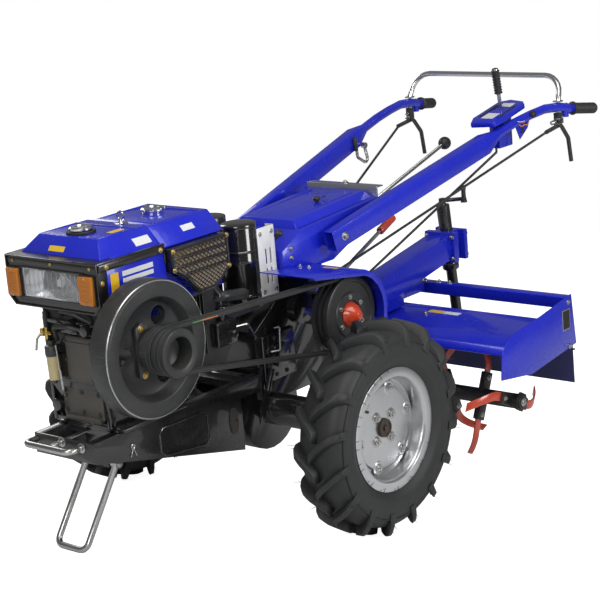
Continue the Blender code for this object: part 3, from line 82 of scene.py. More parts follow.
def pick(*items):
    """Select these objects only, the first one active."""
    if bpy.context.object and bpy.context.object.mode != "OBJECT":
        bpy.ops.object.mode_set(mode="OBJECT")
    bpy.ops.object.select_all(action="DESELECT")
    for item in items:
        item.select_set(True)
    bpy.context.view_layer.objects.active = items[0]


def apply_modifier(item, kind, **settings):
    pick(item)
    modifier = item.modifiers.new(kind.title(), kind)
    for name, value in settings.items():
        setattr(modifier, name, value)
    bpy.ops.object.modifier_apply(modifier=modifier.name)
    return item


def bevelled(item, width, segments=2, angle=35):
    """Round the edges sharper than an angle."""
    return apply_modifier(item, "BEVEL", width=width, segments=segments, limit_method="ANGLE",
                          angle_limit=radians(angle), harden_normals=False)


def merged(item, *others):
    """Join objects into the first one."""
    if others:
        pick(item, *others)
        bpy.ops.object.join()
    return item


def outwards(item):
    """Merge doubled points and turn the faces out."""
    pick(item)
    bpy.ops.object.mode_set(mode="EDIT")
    bpy.ops.mesh.select_all(action="SELECT")
    bpy.ops.mesh.remove_doubles(threshold=WELD)
    bpy.ops.mesh.normals_make_consistent(inside=False)
    bpy.ops.object.mode_set(mode="OBJECT")
    return item


def cut(item, *cutters):
    """Take the cutters out of a piece."""
    for cutter in cutters:
        apply_modifier(item, "BOOLEAN", operation="DIFFERENCE", solver="EXACT", object=cutter)
        bpy.data.objects.remove(cutter, do_unlink=True)
    return item


def moved(item, matrix):
    """Move a piece and write the move into its mesh."""
    pick(item)
    item.matrix_world = matrix @ item.matrix_world
    bpy.ops.object.transform_apply(location=True, rotation=True, scale=True)
    return item


def copied(item, matrix):
    """A second piece with its own mesh, moved by a matrix."""
    pick(item)
    bpy.ops.object.duplicate(linked=False)
    return moved(bpy.context.object, matrix)


# %% [markdown]
# ## Shapes to start from
# Four starts cover nearly every part here: a bevelled block, a round bar along
# a path, a turned shape spun round a shaft, and a plate cut from an outline.
# Hoses and bolts grow from these.

# %% Block and bolt-sized cylinder
def block(low, high, bevel=0.0015, segments=2):
    low, high = Vector(low), Vector(high)
    bpy.ops.object.select_all(action="DESELECT")
    bpy.ops.mesh.primitive_cube_add(size=1, location=(low + high) / 2)
    item = bpy.context.object
    item.scale = high - low
    bpy.ops.object.transform_apply(location=True, rotation=True, scale=True)
    if bevel:
        bevelled(item, bevel, segments)
    return item


def bar(start, end, radius, sides=24, bevel=0.0, end_radius=None):
    """A straight round bar, or a cone, between two points."""
    start, end = Vector(start), Vector(end)
    bpy.ops.object.select_all(action="DESELECT")
    along = end - start
    bpy.ops.mesh.primitive_cone_add(vertices=sides, radius1=radius, depth=along.length,
                                    radius2=radius if end_radius is None else end_radius)
    item = bpy.context.object
    turn = along.to_track_quat("Z", "Y").to_matrix().to_4x4()
    moved(item, Matrix.Translation((start + end) / 2) @ turn)
    if bevel:
        bevelled(item, bevel, 2, 50)
    return item


# %% Bar along a path
def bent(points, radius, sides=12, smooth=False):
    """A round bar through points, as a curve with a round bevel made into a mesh."""
    bpy.ops.object.select_all(action="DESELECT")
    bpy.ops.curve.primitive_bezier_curve_add(location=(0, 0, 0))
    curve = bpy.context.object
    data = curve.data
    data.splines.clear()
    spline = data.splines.new("NURBS" if smooth else "POLY")
    spline.points.add(len(points) - 1)
    for place, point in zip(spline.points, points):
        place.co = (*point, 1.0)
    if smooth:
        spline.order_u = 4
        spline.use_endpoint_u = True
        data.resolution_u = 6
    data.dimensions = "3D"
    data.bevel_depth = radius
    data.bevel_resolution = max(1, sides // 4)
    data.use_fill_caps = True
    pick(curve)
    bpy.ops.object.convert(target="MESH")
    return outwards(bpy.context.object)


def arc_corners(points, radius, steps=5):
    """Points of a path whose corners are turned by arcs."""
    points = [Vector(point) for point in points]
    path = [points[0]]
    for before, corner, after in zip(points, points[1:], points[2:]):
        back = (before - corner).normalized()
        ahead = (after - corner).normalized()
        half = back.angle(ahead) / 2
        centre = corner + (back + ahead).normalized() * radius / sin(half)
        reach = radius / tan(half)
        start = (corner + back * reach - centre).normalized()
        end = (corner + ahead * reach - centre).normalized()
        path += [centre + start.slerp(end, step / steps) * radius for step in range(steps + 1)]
    return path + [points[-1]]


def hose(points, corner, radius, sides=10):
    """A pipe whose corners are turned by arcs."""
    return bent(arc_corners(points, corner), radius, sides)


# %% Directions round a shaft along X
def outward(angle):
    return Vector((0, cos(angle), sin(angle)))


def sideways(angle):
    return Vector((0, -sin(angle), cos(angle)))


def steps_round(count, last=0):
    """Evenly spaced angles round a circle; last=1 repeats the first one at the end."""
    return [2 * pi * k / count for k in range(count + last)]


# %% Turned shape
def turned(profile, centre, steps=48):
    """Spin an open (X, radius) outline round the line along X through centre (Y, Z)."""
    bpy.ops.object.select_all(action="DESELECT")
    bpy.ops.mesh.primitive_plane_add(size=0.01, location=(0, 0, 0))
    item = bpy.context.object
    bpy.ops.object.mode_set(mode="EDIT")
    bpy.ops.mesh.select_all(action="SELECT")
    bpy.ops.mesh.merge(type="CENTER")
    first = Vector((profile[0][0], centre[0] + profile[0][1], centre[1]))
    bpy.ops.transform.translate(value=first)
    last = profile[0]
    for x, radius in profile[1:]:
        step = (x - last[0], radius - last[1], 0.0)
        bpy.ops.mesh.extrude_region_move(TRANSFORM_OT_translate={"value": step})
        last = (x, radius)
    bpy.ops.mesh.select_all(action="SELECT")
    bpy.ops.mesh.spin(steps=steps, angle=2 * pi, center=(0, centre[0], centre[1]), axis=(1, 0, 0))
    bpy.ops.object.mode_set(mode="OBJECT")
    return outwards(item)


# %% Plate from an outline
def plate(outline, low, high, axis="X", bevel=0.0, segments=2):
    """An n-sided primitive whose corners are put on the outline, then extruded."""
    bpy.ops.object.select_all(action="DESELECT")
    bpy.ops.mesh.primitive_circle_add(vertices=len(outline), radius=0.1, fill_type="NGON")
    item = bpy.context.object
    spots = {"X": lambda a, b: (low, a, b), "Y": lambda a, b: (a, low, b), "Z": lambda a, b: (a, b, low)}
    for vert, (a, b) in zip(item.data.vertices, outline):
        vert.co = spots[axis](a, b)
    away = {"X": (high - low, 0, 0), "Y": (0, high - low, 0), "Z": (0, 0, high - low)}[axis]
    bpy.ops.object.mode_set(mode="EDIT")
    bpy.ops.mesh.select_all(action="SELECT")
    bpy.ops.mesh.extrude_region_move(TRANSFORM_OT_translate={"value": away})
    bpy.ops.object.mode_set(mode="OBJECT")
    outwards(item)
    if bevel:
        bevelled(item, bevel, segments)
    return item


# %% Grid made thick
def thick_grid(cells):
    """A strip of cells along X, one wide and one thick, to be put in shape point by point."""
    bpy.ops.object.select_all(action="DESELECT")
    bpy.ops.mesh.primitive_grid_add(x_subdivisions=cells, y_subdivisions=1, size=1.0)
    item = bpy.context.object
    bpy.ops.object.mode_set(mode="EDIT")
    bpy.ops.mesh.select_all(action="SELECT")
    bpy.ops.mesh.extrude_region_move(TRANSFORM_OT_translate={"value": (0, 0, 1)})
    bpy.ops.object.mode_set(mode="OBJECT")
    return item


# %% Hexagon bolt head
def bolt(at, normal, size=0.009, height=0.006, washer=True):
    """A hexagon head on a washer. size is half its width, normal points away from the plate."""
    at, normal = Vector(at), Vector(normal).normalized()
    head = bar(at, at + normal * height, size, 6)
    bevelled(head, size * 0.12, 1, 40)
    if washer:
        ring = bar(at - normal * 0.0004, at + normal * 0.0016, size * 1.35, 20, 0.0004)
        stud = bar(at + normal * height * 0.9, at + normal * (height + size * 0.35), size * 0.5, 12, 0.0004)
        merged(head, ring, stud)
    return head


# %% [markdown]
# ## Effects shared by the finishes
# Dust, fine grain and worn streaks turn up on many finishes, so each is a node
# group with named inputs. A group gives out a mask or a height, and every
# material mixes it with its own colours.

# %% Node group helpers
def new_group(name, inputs, outputs):
    group = bpy.data.node_groups.new(name, "ShaderNodeTree")
    for label, value in inputs.items():
        socket = group.interface.new_socket(label, in_out="INPUT", socket_type="NodeSocketFloat")
        socket.default_value = value
    for label in outputs:
        group.interface.new_socket(label, in_out="OUTPUT", socket_type="NodeSocketFloat")
    nodes = group.nodes
    return group, nodes.new("NodeGroupInput"), nodes.new("NodeGroupOutput"), nodes.new("ShaderNodeTexCoord")


def noise(tree, coords, scale, detail=4.0, roughness=0.6):
    node = tree.nodes.new("ShaderNodeTexNoise")
    node.inputs["Detail"].default_value = detail
    node.inputs["Roughness"].default_value = roughness
    tree.links.new(coords, node.inputs["Vector"])
    if hasattr(scale, "links"):
        tree.links.new(scale, node.inputs["Scale"])
    else:
        node.inputs["Scale"].default_value = scale
    return node.outputs["Fac"]


def ramped(tree, value, low, high):
    """Stretch a value so that low gives 0 and high gives 1, held inside that range."""
    node = tree.nodes.new("ShaderNodeMapRange")
    node.inputs["From Min"].default_value = low
    node.inputs["From Max"].default_value = high
    tree.links.new(value, node.inputs["Value"])
    return node.outputs["Result"]


def maths(tree, operation, one, two=None):
    node = tree.nodes.new("ShaderNodeMath")
    node.operation = operation
    for socket, value in zip(node.inputs, (one, two)):
        if value is None:
            continue
        if hasattr(value, "links"):
            tree.links.new(value, socket)
        else:
            socket.default_value = value
    return node.outputs[0]


# %% Dust: settled on faces that look up, and in blotches
def dust_group():
    group, given, result, coords = new_group("settled_dust", {"Amount": 0.3, "Scale": 6.0}, ["Mask"])
    normal = group.nodes.new("ShaderNodeNewGeometry")
    split = group.nodes.new("ShaderNodeSeparateXYZ")
    group.links.new(normal.outputs["Normal"], split.inputs[0])
    upward = ramped(group, split.outputs["Z"], -0.2, 1.0)
    blotch = ramped(group, noise(group, coords.outputs["Object"], given.outputs["Scale"]), 0.35, 0.75)
    fine = ramped(group, noise(group, coords.outputs["Object"], 240.0, 3.0), 0.45, 0.75)
    patches = maths(group, "MULTIPLY", blotch, maths(group, "ADD", upward, 0.25))
    speckled = maths(group, "ADD", patches, maths(group, "MULTIPLY", fine, 0.25))
    mask = group.nodes.new("ShaderNodeMath")
    mask.operation = "MULTIPLY"
    mask.use_clamp = True
    group.links.new(speckled, mask.inputs[0])
    group.links.new(given.outputs["Amount"], mask.inputs[1])
    group.links.new(mask.outputs[0], result.inputs["Mask"])
    return group


# %% Grain: the small waviness of sprayed paint or the tooth of a casting
def grain_group():
    group, given, result, coords = new_group("surface_grain", {"Scale": 300.0, "Waviness": 0.3}, ["Height"])
    fine = noise(group, coords.outputs["Object"], given.outputs["Scale"], 3.0)
    broad = noise(group, coords.outputs["Object"], 14.0, 2.0)
    height = maths(group, "ADD", fine, maths(group, "MULTIPLY", broad, given.outputs["Waviness"]))
    group.links.new(height, result.inputs["Height"])
    return group


# %% Streaks: hairline scratches from handling
def streak_group():
    group, given, result, coords = new_group("hairline_streaks", {"Amount": 0.5}, ["Mask"])
    stretch = group.nodes.new("ShaderNodeMapping")
    stretch.inputs["Scale"].default_value = (8.0, 60.0, 300.0)
    stretch.inputs["Rotation"].default_value = (0.4, 0.3, 0.2)
    group.links.new(coords.outputs["Object"], stretch.inputs["Vector"])
    lines = ramped(group, noise(group, stretch.outputs["Vector"], 3.0, 2.0), 0.6, 0.72)
    broken = ramped(group, noise(group, coords.outputs["Object"], 9.0, 2.0), 0.48, 0.62)
    mask = maths(group, "MULTIPLY", maths(group, "MULTIPLY", lines, broken), given.outputs["Amount"])
    group.links.new(mask, result.inputs["Mask"])
    return group


DUST = dust_group()
GRAIN = grain_group()
STREAKS = streak_group()

# %% [markdown]
# ## Finishes
# One recipe makes every painted, cast, plated or moulded finish: a base colour
# that varies a little, streaks that show a second colour, dust on top, a
# roughness that follows both, and grain as bump. The table below holds what
# differs. Sockets that never vary are set on the shader itself.

# %% One finish
def mix_colour(tree, mask, one, two):
    node = tree.nodes.new("ShaderNodeMix")
    node.data_type = "RGBA"
    tree.links.new(mask, node.inputs[0])
    for socket, value in ((node.inputs[6], one), (node.inputs[7], two)):
        if hasattr(value, "links"):
            tree.links.new(value, socket)
        else:
            socket.default_value = (*value, 1.0)
    return node.outputs[2]


def use_group(tree, group, **values):
    node = tree.nodes.new("ShaderNodeGroup")
    node.node_tree = group
    for label, value in values.items():
        node.inputs[label.replace("_", " ")].default_value = value
    return node.outputs[0]


FINISHES = {}


def finish(name, colour, rough, metal=0.0, coat=0.0, dark=0.85, worn=None, streaks=0.3, dust=0.25,
           dust_colour=(0.3, 0.27, 0.23), grain=300.0, waviness=0.3, bump=0.02, coat_rough=0.05,
           specular=0.5):
    material = bpy.data.materials.new(name)
    material.use_nodes = True
    tree = material.node_tree
    shader = tree.nodes["Principled BSDF"]
    coords = tree.nodes.new("ShaderNodeTexCoord").outputs["Object"]
    shader.inputs["Metallic"].default_value = metal
    shader.inputs["Coat Weight"].default_value = coat
    shader.inputs["Coat Roughness"].default_value = coat_rough
    shader.inputs["Specular IOR Level"].default_value = specular
    shade = ramped(tree, noise(tree, coords, 5.0, 3.0), 0.3, 0.7)
    base = mix_colour(tree, shade, tuple(dark * c for c in colour), colour)
    streak_mask = use_group(tree, STREAKS, Amount=streaks)
    base = mix_colour(tree, streak_mask, base, worn or tuple(min(1.0, 1.5 * c + 0.03) for c in colour))
    dust_mask = use_group(tree, DUST, Amount=dust)
    base = mix_colour(tree, dust_mask, base, dust_colour)
    tree.links.new(base, shader.inputs["Base Color"])
    smear = maths(tree, "MULTIPLY", ramped(tree, noise(tree, coords, 11.0, 4.0), 0.35, 0.8), 0.1)
    roughness = maths(tree, "ADD", maths(tree, "ADD", smear, rough), maths(tree, "MULTIPLY", dust_mask, 0.45))
    tree.links.new(roughness, shader.inputs["Roughness"])
    height = use_group(tree, GRAIN, Scale=grain, Waviness=waviness)
    bumped = tree.nodes.new("ShaderNodeBump")
    bumped.inputs["Strength"].default_value = 1.0
    bumped.inputs["Distance"].default_value = bump / 1000.0
    tree.links.new(height, bumped.inputs["Height"])
    tree.links.new(bumped.outputs["Normal"], shader.inputs["Normal"])
    FINISHES[name] = material
    return material


# %% The table of finishes
finish("blue_paint", (0.007, 0.016, 0.5), 0.24, coat=0.45, specular=0.35, streaks=0.08, dust=0.05, bump=0.06,
    waviness=8.0, worn=(0.06, 0.1, 0.6), dust_colour=(0.2, 0.22, 0.35))
finish("black_paint", (0.008, 0.008, 0.009), 0.24, coat=0.5, streaks=0.22, dust=0.05, bump=0.35, grain=160.0,
    worn=(0.09, 0.085, 0.08))
finish("dark_iron", (0.03, 0.032, 0.034), 0.34, metal=0.25, streaks=0.4, dust=0.14, bump=0.2, grain=200.0,
    worn=(0.3, 0.29, 0.28))
finish("bright_steel", (0.56, 0.56, 0.55), 0.24, metal=1.0, dark=0.75, streaks=0.5, dust=0.1, bump=0.05,
    worn=(0.3, 0.28, 0.25))
finish("silver_paint", (0.6, 0.61, 0.62), 0.27, metal=0.95, coat=0.1, streaks=0.3, dust=0.06, bump=0.04,
    worn=(0.35, 0.34, 0.33))
finish("tyre_rubber", (0.018, 0.019, 0.02), 0.48, streaks=0.4, dust=0.18, bump=0.3, grain=260.0,
    dust_colour=(0.09, 0.085, 0.075), worn=(0.05, 0.05, 0.05), specular=0.4)
finish("belt_rubber", (0.022, 0.023, 0.024), 0.5, streaks=0.3, dust=0.2, bump=0.2,
    dust_colour=(0.1, 0.1, 0.09), worn=(0.06, 0.06, 0.06))
finish("grip_plastic", (0.018, 0.018, 0.019), 0.42, streaks=0.2, dust=0.15, bump=0.12,
    dust_colour=(0.1, 0.1, 0.09), worn=(0.05, 0.05, 0.05))
finish("orange_paint", (0.54, 0.046, 0.013), 0.25, coat=0.5, streaks=0.25, dust=0.1, bump=0.08,
    worn=(0.4, 0.1, 0.05))
finish("white_sheet", (0.74, 0.74, 0.73), 0.28, coat=0.3, streaks=0.2, dust=0.1, bump=0.04,
    worn=(0.55, 0.54, 0.52))
finish("yellow_zinc", (0.62, 0.47, 0.18), 0.28, metal=0.9, dark=0.7, streaks=0.4, dust=0.1, bump=0.05,
    worn=(0.4, 0.3, 0.14))
# A navy far darker than the blue paint: painted shade for the tiller flap's underside, which lies in the hood's
# shadow.
finish("painted_shade_navy", (0.003, 0.006, 0.085), 0.38, coat=0.1, streaks=0.15, dust=0.04, bump=0.1)
finish("blank_label", (0.7, 0.71, 0.72), 0.35, coat=0.2, streaks=0.1, dust=0.06, bump=0.01)
finish("label_yellow", (0.8, 0.5, 0.02), 0.35, coat=0.2, streaks=0.1, dust=0.06, bump=0.01)
finish("shaft_black", (0.014, 0.013, 0.013), 0.32, metal=0.3, streaks=0.4, dust=0.15, bump=0.2, grain=180.0,
    worn=(0.14, 0.12, 0.11))
finish("black_gloss", (0.007, 0.007, 0.008), 0.14, coat=0.8, streaks=0.15, dust=0.05, bump=0.1)
finish("chrome", (0.8, 0.81, 0.83), 0.16, metal=1.0, dark=0.9, streaks=0.15, dust=0.06, bump=0.02)
finish("brass", (0.62, 0.42, 0.12), 0.25, metal=1.0, streaks=0.4, dust=0.12, bump=0.05)
finish("gasket", (0.006, 0.006, 0.006), 0.55, streaks=0.2, dust=0.08, bump=0.1)
finish("stripe_green", (0.03, 0.3, 0.1), 0.45, streaks=0.4, dust=0.15)
finish("stripe_orange", (0.6, 0.16, 0.02), 0.45, streaks=0.4, dust=0.15)
finish("cable_orange", (0.65, 0.2, 0.02), 0.4, streaks=0.2, dust=0.1)
finish("label_green", (0.25, 0.52, 0.06), 0.35, coat=0.2, streaks=0.1, dust=0.06, bump=0.01)
finish("core_brown", (0.16, 0.11, 0.06), 0.5, metal=0.4, streaks=0.5, dust=0.3, grain=900.0, bump=0.4)
finish("cover_grey", (0.06, 0.056, 0.048), 0.38, metal=0.1, streaks=0.3, dust=0.2, bump=0.35, grain=180.0)
finish("hub_brown", (0.05, 0.036, 0.028), 0.35, metal=0.4, streaks=0.4, dust=0.2, bump=0.2, grain=180.0,
    worn=(0.16, 0.12, 0.09))


# %% Lamp lenses
def lens(name, colour, weight, rough):
    """Clear or amber plastic. Its ribs and dimples are bump, its tint is the colour."""
    material = finish(name, colour, rough, dark=0.97, streaks=0.04, dust=0.04, bump=0.15, grain=60.0)
    material.node_tree.nodes["Principled BSDF"].inputs["Transmission Weight"].default_value = weight


lens("amber_lens", (0.52, 0.175, 0.018), 0.15, 0.1)
lens("clear_lens", (0.92, 0.93, 0.94), 0.93, 0.02)
lens("fuel_amber", (0.62, 0.52, 0.28), 0.35, 0.06)
SLOT_OF = {part["node"]: part["material_slot"] for part in frame["record"]["subparts"]}
BODY_OF = {node: body for body, nodes in frame["record"]["behaviour"]["bodies"].items() for node in nodes}
print("finishes:", len(FINISHES))

# %% [markdown]
# ## Handing a piece over
# A finished piece stands up with the machine, its object stays on the origin,
# and it is told which body carries it and which finish it wears.

# %% Deliver
def deliver(item, name, body, finish_name, replaces=(), angle=32):
    """Stand a level piece up, name it, finish it and give it to its body."""
    moved(item, STANDING)
    pick(item)
    item.name = name
    item.data.name = name
    bpy.ops.object.shade_smooth_by_angle(angle=radians(angle))
    for modifier in list(item.modifiers):
        bpy.ops.object.modifier_apply(modifier=modifier.name)
    item.data.materials.clear()
    item.data.materials.append(FINISHES[finish_name])
    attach(item, body)
    if replaces:
        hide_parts(*replaces)
    print(name, len(item.data.polygons), "faces")
    return item


# %% [markdown]
# ## The sheet and cast parts, with real edges
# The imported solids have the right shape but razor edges, and no real casting or
# folded sheet has those. A copy of each is merged, its flat faces are made one,
# and its edges get a small round that catches the light. The copy then stands
# for the solid.

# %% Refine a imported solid
def refined(node, edge=0.0015, segments=2, angle=35):
    """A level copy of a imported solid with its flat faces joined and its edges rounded."""
    source = NODES[node]
    pick(source)
    bpy.ops.object.duplicate(linked=False)
    item = bpy.context.object
    parent_free = item.matrix_world.copy()
    item.parent = None
    item.matrix_world = parent_free
    moved(item, LEVEL)
    bpy.ops.object.mode_set(mode="EDIT")
    bpy.ops.mesh.select_all(action="SELECT")
    bpy.ops.mesh.remove_doubles(threshold=WELD)
    bpy.ops.mesh.dissolve_limited(angle_limit=radians(FLAT))
    bpy.ops.object.mode_set(mode="OBJECT")
    if edge:
        bevelled(item, edge, segments, angle)
    return item


# name of the solid: width of its rounded edges
EDGES = {"air_cleaner": 0.004, "belt_guard": 0.001, "chassis_frame": 0.002, "clutch_cap": 0.0015,
    "clutch_lever": 0.002, "clutch_rod": 0.0, "cross_strap": 0.001, "crossbar": 0.0008,
    "cylinder_head": 0.004, "dash_panel": 0.004, "depth_post": 0.0008, "engine_block": 0.005,
    "front_bumper_bar": 0.0, "front_stand": 0.0, "fuel_tank": 0.005, "gear_lever": 0.0, "gearbox": 0.004,
    "handle_arm_left": 0.0012, "handle_arm_right": 0.0012, "heat_shield": 0.0005, "lamp_housing": 0.002,
    "muffler": 0.003, "radiator": 0.0045, "radiator_grille": 0.0015, "side_panel": 0.001,
    "steering_lever_left": 0.0, "steering_lever_right": 0.0, "tension_lever": 0.0, "throttle_cable": 0.0,
    "tiller_beam": 0.003, "tiller_case": 0.003, "tiller_drive_lever": 0.0, "tiller_flap": 0.0008,
    "tiller_hood": 0.001, "tool_box": 0.0015, "tool_box_lid": 0.003, }
# solids whose finish differs from the colour group they belong to
# the tiller flap takes the dark navy that paints the shade under the hood
SPECIAL = {"tiller_drive_lever": "bright_steel", "tiller_flap": "painted_shade_navy", "muffler": "black_gloss",
    "gear_lever": "bright_steel", "cross_strap": "silver_paint", "crossbar": "chrome",
    "gearbox": "black_gloss", "clutch_lever": "bright_steel"}
for solid, edge_width in EDGES.items():
    copy = refined(solid, edge_width)
    deliver(copy, f"{solid}_shell", BODY_OF[solid], SPECIAL.get(solid, SLOT_OF[solid]),
        (solid,))

# %% [markdown]
# ## Tyres
# A drive tyre is a thin casing with tall rubber bars that meet in a V at the
# middle. The casing is turned. One bar is a grid, extruded, wrapped onto the
# casing point by point and rounded, then copied round the wheel, first on one
# half and then, half a step later, on the other.

# %% Tyre sizes
BARS = 16                  # bars on each half
BAR_SWEEP = 0.25          # how far a bar lags from middle to shoulder, radians
BAR_START, BAR_STOP = -0.007, 0.0815    # a bar's ends, measured from the tyre's middle
CASING = [(0.0, 0.2925), (0.04, 0.2905), (0.058, 0.284), (0.07, 0.272), (0.0775, 0.256), (0.0785, 0.238),
          (0.0755, 0.222), (0.0765, 0.219), (0.07, 0.2), (0.06, 0.188), (0.0585, 0.1855), (0.057, 0.153)]
CASING_INSIDE = [(0.04, 0.153), (0.05, 0.18), (0.064, 0.215), (0.0665, 0.245), (0.06, 0.264), (0.0, 0.274)]
BAR_FOOT = [(0.0, 0.2885), (0.04, 0.2865), (0.058, 0.28), (0.07, 0.268), (0.0765, 0.256), (0.083, 0.24)]
CROWN = [(0.0, 0.32), (0.045, 0.3185), (0.062, 0.313), (0.074, 0.299), (0.0815, 0.279), (0.082, 0.258)]


def between(table, x):
    """Read a table of (X, radius) at a place between its rows."""
    x = abs(x)
    for (x0, r0), (x1, r1) in zip(table, table[1:]):
        if x <= x1:
            return r0 + (r1 - r0) * (x - x0) / (x1 - x0)
    return table[-1][1]


def about_axle(degrees):
    return Matrix.Rotation(radians(degrees), 4, "X")


# %% One tread bar
def tread_bar(half):
    """half is +1 for the outer side of the tyre and -1 for the inner side."""
    item = outwards(thick_grid(9))
    for vert in item.data.vertices:
        along, across, top = vert.co.x + 0.5, 2 * vert.co.y, vert.co.z > 0.5
        x = BAR_START + along * (BAR_STOP - BAR_START)
        radius = between(CROWN, x) if top else between(BAR_FOOT, x)
        width = (0.0125 - 0.003 * along) if top else (0.018 - 0.004 * along)
        angle = pi - BAR_SWEEP * along ** 0.8 + across * width / radius
        vert.co = (WHEEL_X + half * x, radius * cos(angle), radius * sin(angle))
    outwards(item)
    foot = bar_foot(half)
    return bevelled(merged(item, foot), 0.0024, 2, 40)


def bar_foot(half):
    """The low web that carries a bar's end down the side of the casing."""
    angle = pi - BAR_SWEEP
    out, round_ = outward(angle), sideways(angle)
    side = Vector((half, 0, 0))
    middle = Vector((WHEEL_X, 0, 0))
    foot = block((-0.5, -0.5, -0.5), (0.5, 0.5, 0.5), 0.0)
    for vert in foot.data.vertices:
        high = vert.co.z > 0
        reach = (0.0812 if high else 0.0795) if vert.co.x > 0 else 0.066
        vert.co = middle + side * reach + out * (0.286 if high else 0.26) + round_ * (copysign(1,
            vert.co.y) * (0.007 if high else 0.0045))
    return outwards(foot)


def whisker(half):
    """A thin hair of rubber at a bar's end, left by the mould's vent."""
    angle = pi - BAR_SWEEP
    out = outward(angle)
    hairs = []
    for shift, lift in ((-0.006, 0.288), (0.006, 0.276)):
        root = Vector((WHEEL_X + half * 0.079, 0, 0)) + out * lift + Vector((0, -out.z, out.y)) * shift
        hairs.append(bar(root, root + out * 0.012 + Vector((half * 0.016, 0, 0.002)), 0.0009, 5,
            end_radius=0.0005))
    return merged(*hairs)


# %% Both tyres
def bead_hair(degrees, length):
    """A short hair of rubber at the bead."""
    angle = radians(degrees)
    out = outward(angle)
    root = Vector((WHEEL_X + 0.0605, 0, 0)) + out * 0.1865
    return bar(root, root - out * length + Vector((0.004, 0, 0)), 0.0007, 5)


def make_tyre():
    """The left tyre: casing, bead ridge, bars on both halves and moulding hairs."""
    mirrored_profile = [(-x, r) for x, r in reversed(CASING[1:])]
    outline = mirrored_profile + CASING + [(x, r) for x, r in CASING_INSIDE[:-1]] + [(0.0, 0.274)]
    outline += [(-x, r) for x, r in reversed(CASING_INSIDE[:-1])] + [mirrored_profile[0]]
    casing = turned([(WHEEL_X + x, r) for x, r in outline], (0.0, 0.0), 96)
    parts = []
    for half in (1, -1):
        first = tread_bar(half)
        hair = whisker(half)
        shift = 0.5 if half < 0 else 0.0
        for k in range(BARS):
            turn = about_axle((k + shift) * 360.0 / BARS)
            parts += [copied(first, turn), copied(hair, turn)]
        bpy.data.objects.remove(first, do_unlink=True)
        bpy.data.objects.remove(hair, do_unlink=True)
    for k in range(22):
        parts.append(bead_hair(95 + 11 * k + 5 * sin(3.1 * k), 0.009 + 0.007 * abs(sin(1.7 * k))))
    ridge = turned([(WHEEL_X + 0.0772, 0.263), (WHEEL_X + 0.0792, 0.2615), (WHEEL_X + 0.0792, 0.26),
                    (WHEEL_X + 0.0772, 0.259), (WHEEL_X + 0.0772, 0.263)], (0.0, 0.0), 96)
    return merged(casing, ridge, *parts)


MIRROR_X = Matrix.Scale(-1, 4, (1, 0, 0))
tyre_left = make_tyre()
tyre_right = outwards(copied(tyre_left, MIRROR_X))
deliver(tyre_left, "lugged_tyre_left", "wheel_left", "tyre_rubber", ("tyre_left",), 40)
deliver(tyre_right, "lugged_tyre_right", "wheel_right", "tyre_rubber", ("tyre_right",), 40)

# %% [markdown]
# ## Rims
# The rim is rolled and pressed sheet: a lip, a deep barrel and a dished disc.
# All of it is one turned outline. Bolts join the disc to the barrel and the
# disc to the hub, and the hub's end shows through the middle.

# %% Rim with its bolts
def rim_bolts(radius, count, start, x, size):
    heads = []
    for k in range(count):
        angle = radians(start + 360.0 * k / count)
        at = (WHEEL_X + x, radius * cos(angle), radius * sin(angle))
        heads.append(bolt(at, (1, 0, 0), size, size * 0.75))
    return heads


def make_rim():
    """The left wheel's rim sheet, hub, bolts and valve."""
    sheet = [(0.0615, 0.1795), (0.06, 0.183), (0.0575, 0.1828), (0.057, 0.179), (0.0545, 0.156),
        (0.048, 0.1525), (0.03, 0.152), (-0.048, 0.152), (-0.0545, 0.156), (-0.057, 0.179), (-0.0575, 0.1828),
        (-0.06, 0.183), (-0.0615, 0.1795), (-0.059, 0.156), (-0.052, 0.149), (-0.01, 0.1485), (0.004, 0.147),
        (0.008, 0.138), (0.01, 0.126), (0.016, 0.121), (0.018, 0.113), (0.0165, 0.045), (-0.08, 0.045),
        (-0.08, 0.028), (0.0185, 0.028), (0.0195, 0.029), (0.0195, 0.113), (0.0185, 0.122), (0.013, 0.1275),
        (0.011, 0.139), (0.013, 0.146), (0.03, 0.1485), (0.05, 0.149), (0.056, 0.152), (0.06, 0.157),
        (0.0615, 0.1795)]
    shell = turned([(WHEEL_X + x, r) for x, r in sheet], (0.0, 0.0), 96)
    pads = []                  # round pads pressed up where the bolts sit
    for k in range(6):
        angle = radians(12 + 60 * k)
        at = Vector((WHEEL_X + 0.019, 0.1185 * cos(angle), 0.1185 * sin(angle)))
        pads.append(bar(at - Vector((0.001, 0, 0)), at + Vector((0.0022, 0, 0)), 0.024, 32, 0.001,
            end_radius=0.019))
    shell = merged(shell, *pads)
    hub = turned([(WHEEL_X - 0.075, 0.0), (WHEEL_X - 0.075, 0.0275), (WHEEL_X + 0.028, 0.0275),
                  (WHEEL_X + 0.03, 0.0255), (WHEEL_X + 0.03, 0.0215), (WHEEL_X + 0.027, 0.0205),
                  (WHEEL_X + 0.027, 0.0)], (0.0, 0.0), 40)
    stub = bar((WHEEL_X + 0.026, 0, 0), (WHEEL_X + 0.0325, 0, 0), 0.011, 6, 0.001)
    heads = rim_bolts(0.1185, 6, 12, 0.021, 0.01) + rim_bolts(0.05, 4, 40, 0.0192, 0.0125)
    valve = bar((WHEEL_X + 0.04, -0.12, 0.089), (WHEEL_X + 0.066, -0.124, 0.092), 0.0042, 12, 0.001)
    return shell, merged(hub, stub), heads, valve


def make_wheel_fittings(side, matrix):
    """Build a rim, mirror it for the right side, and hand its pieces over."""
    shell, hub, heads, valve = make_rim()
    bolts = merged(*heads)
    body = f"wheel_{side}"
    pieces = [(shell, "rim_sheet", "silver_paint", (f"rim_{side}",)), (hub, "hub_end", "hub_brown", ()),
              (bolts, "rim_bolts", "bright_steel", ()), (valve, "valve", "grip_plastic", ())]
    for item, label, surface, nodes in pieces:
        if side == "right":
            moved(item, matrix)
            outwards(item)
        deliver(item, f"{label}_{side}", body, surface, nodes, 30)


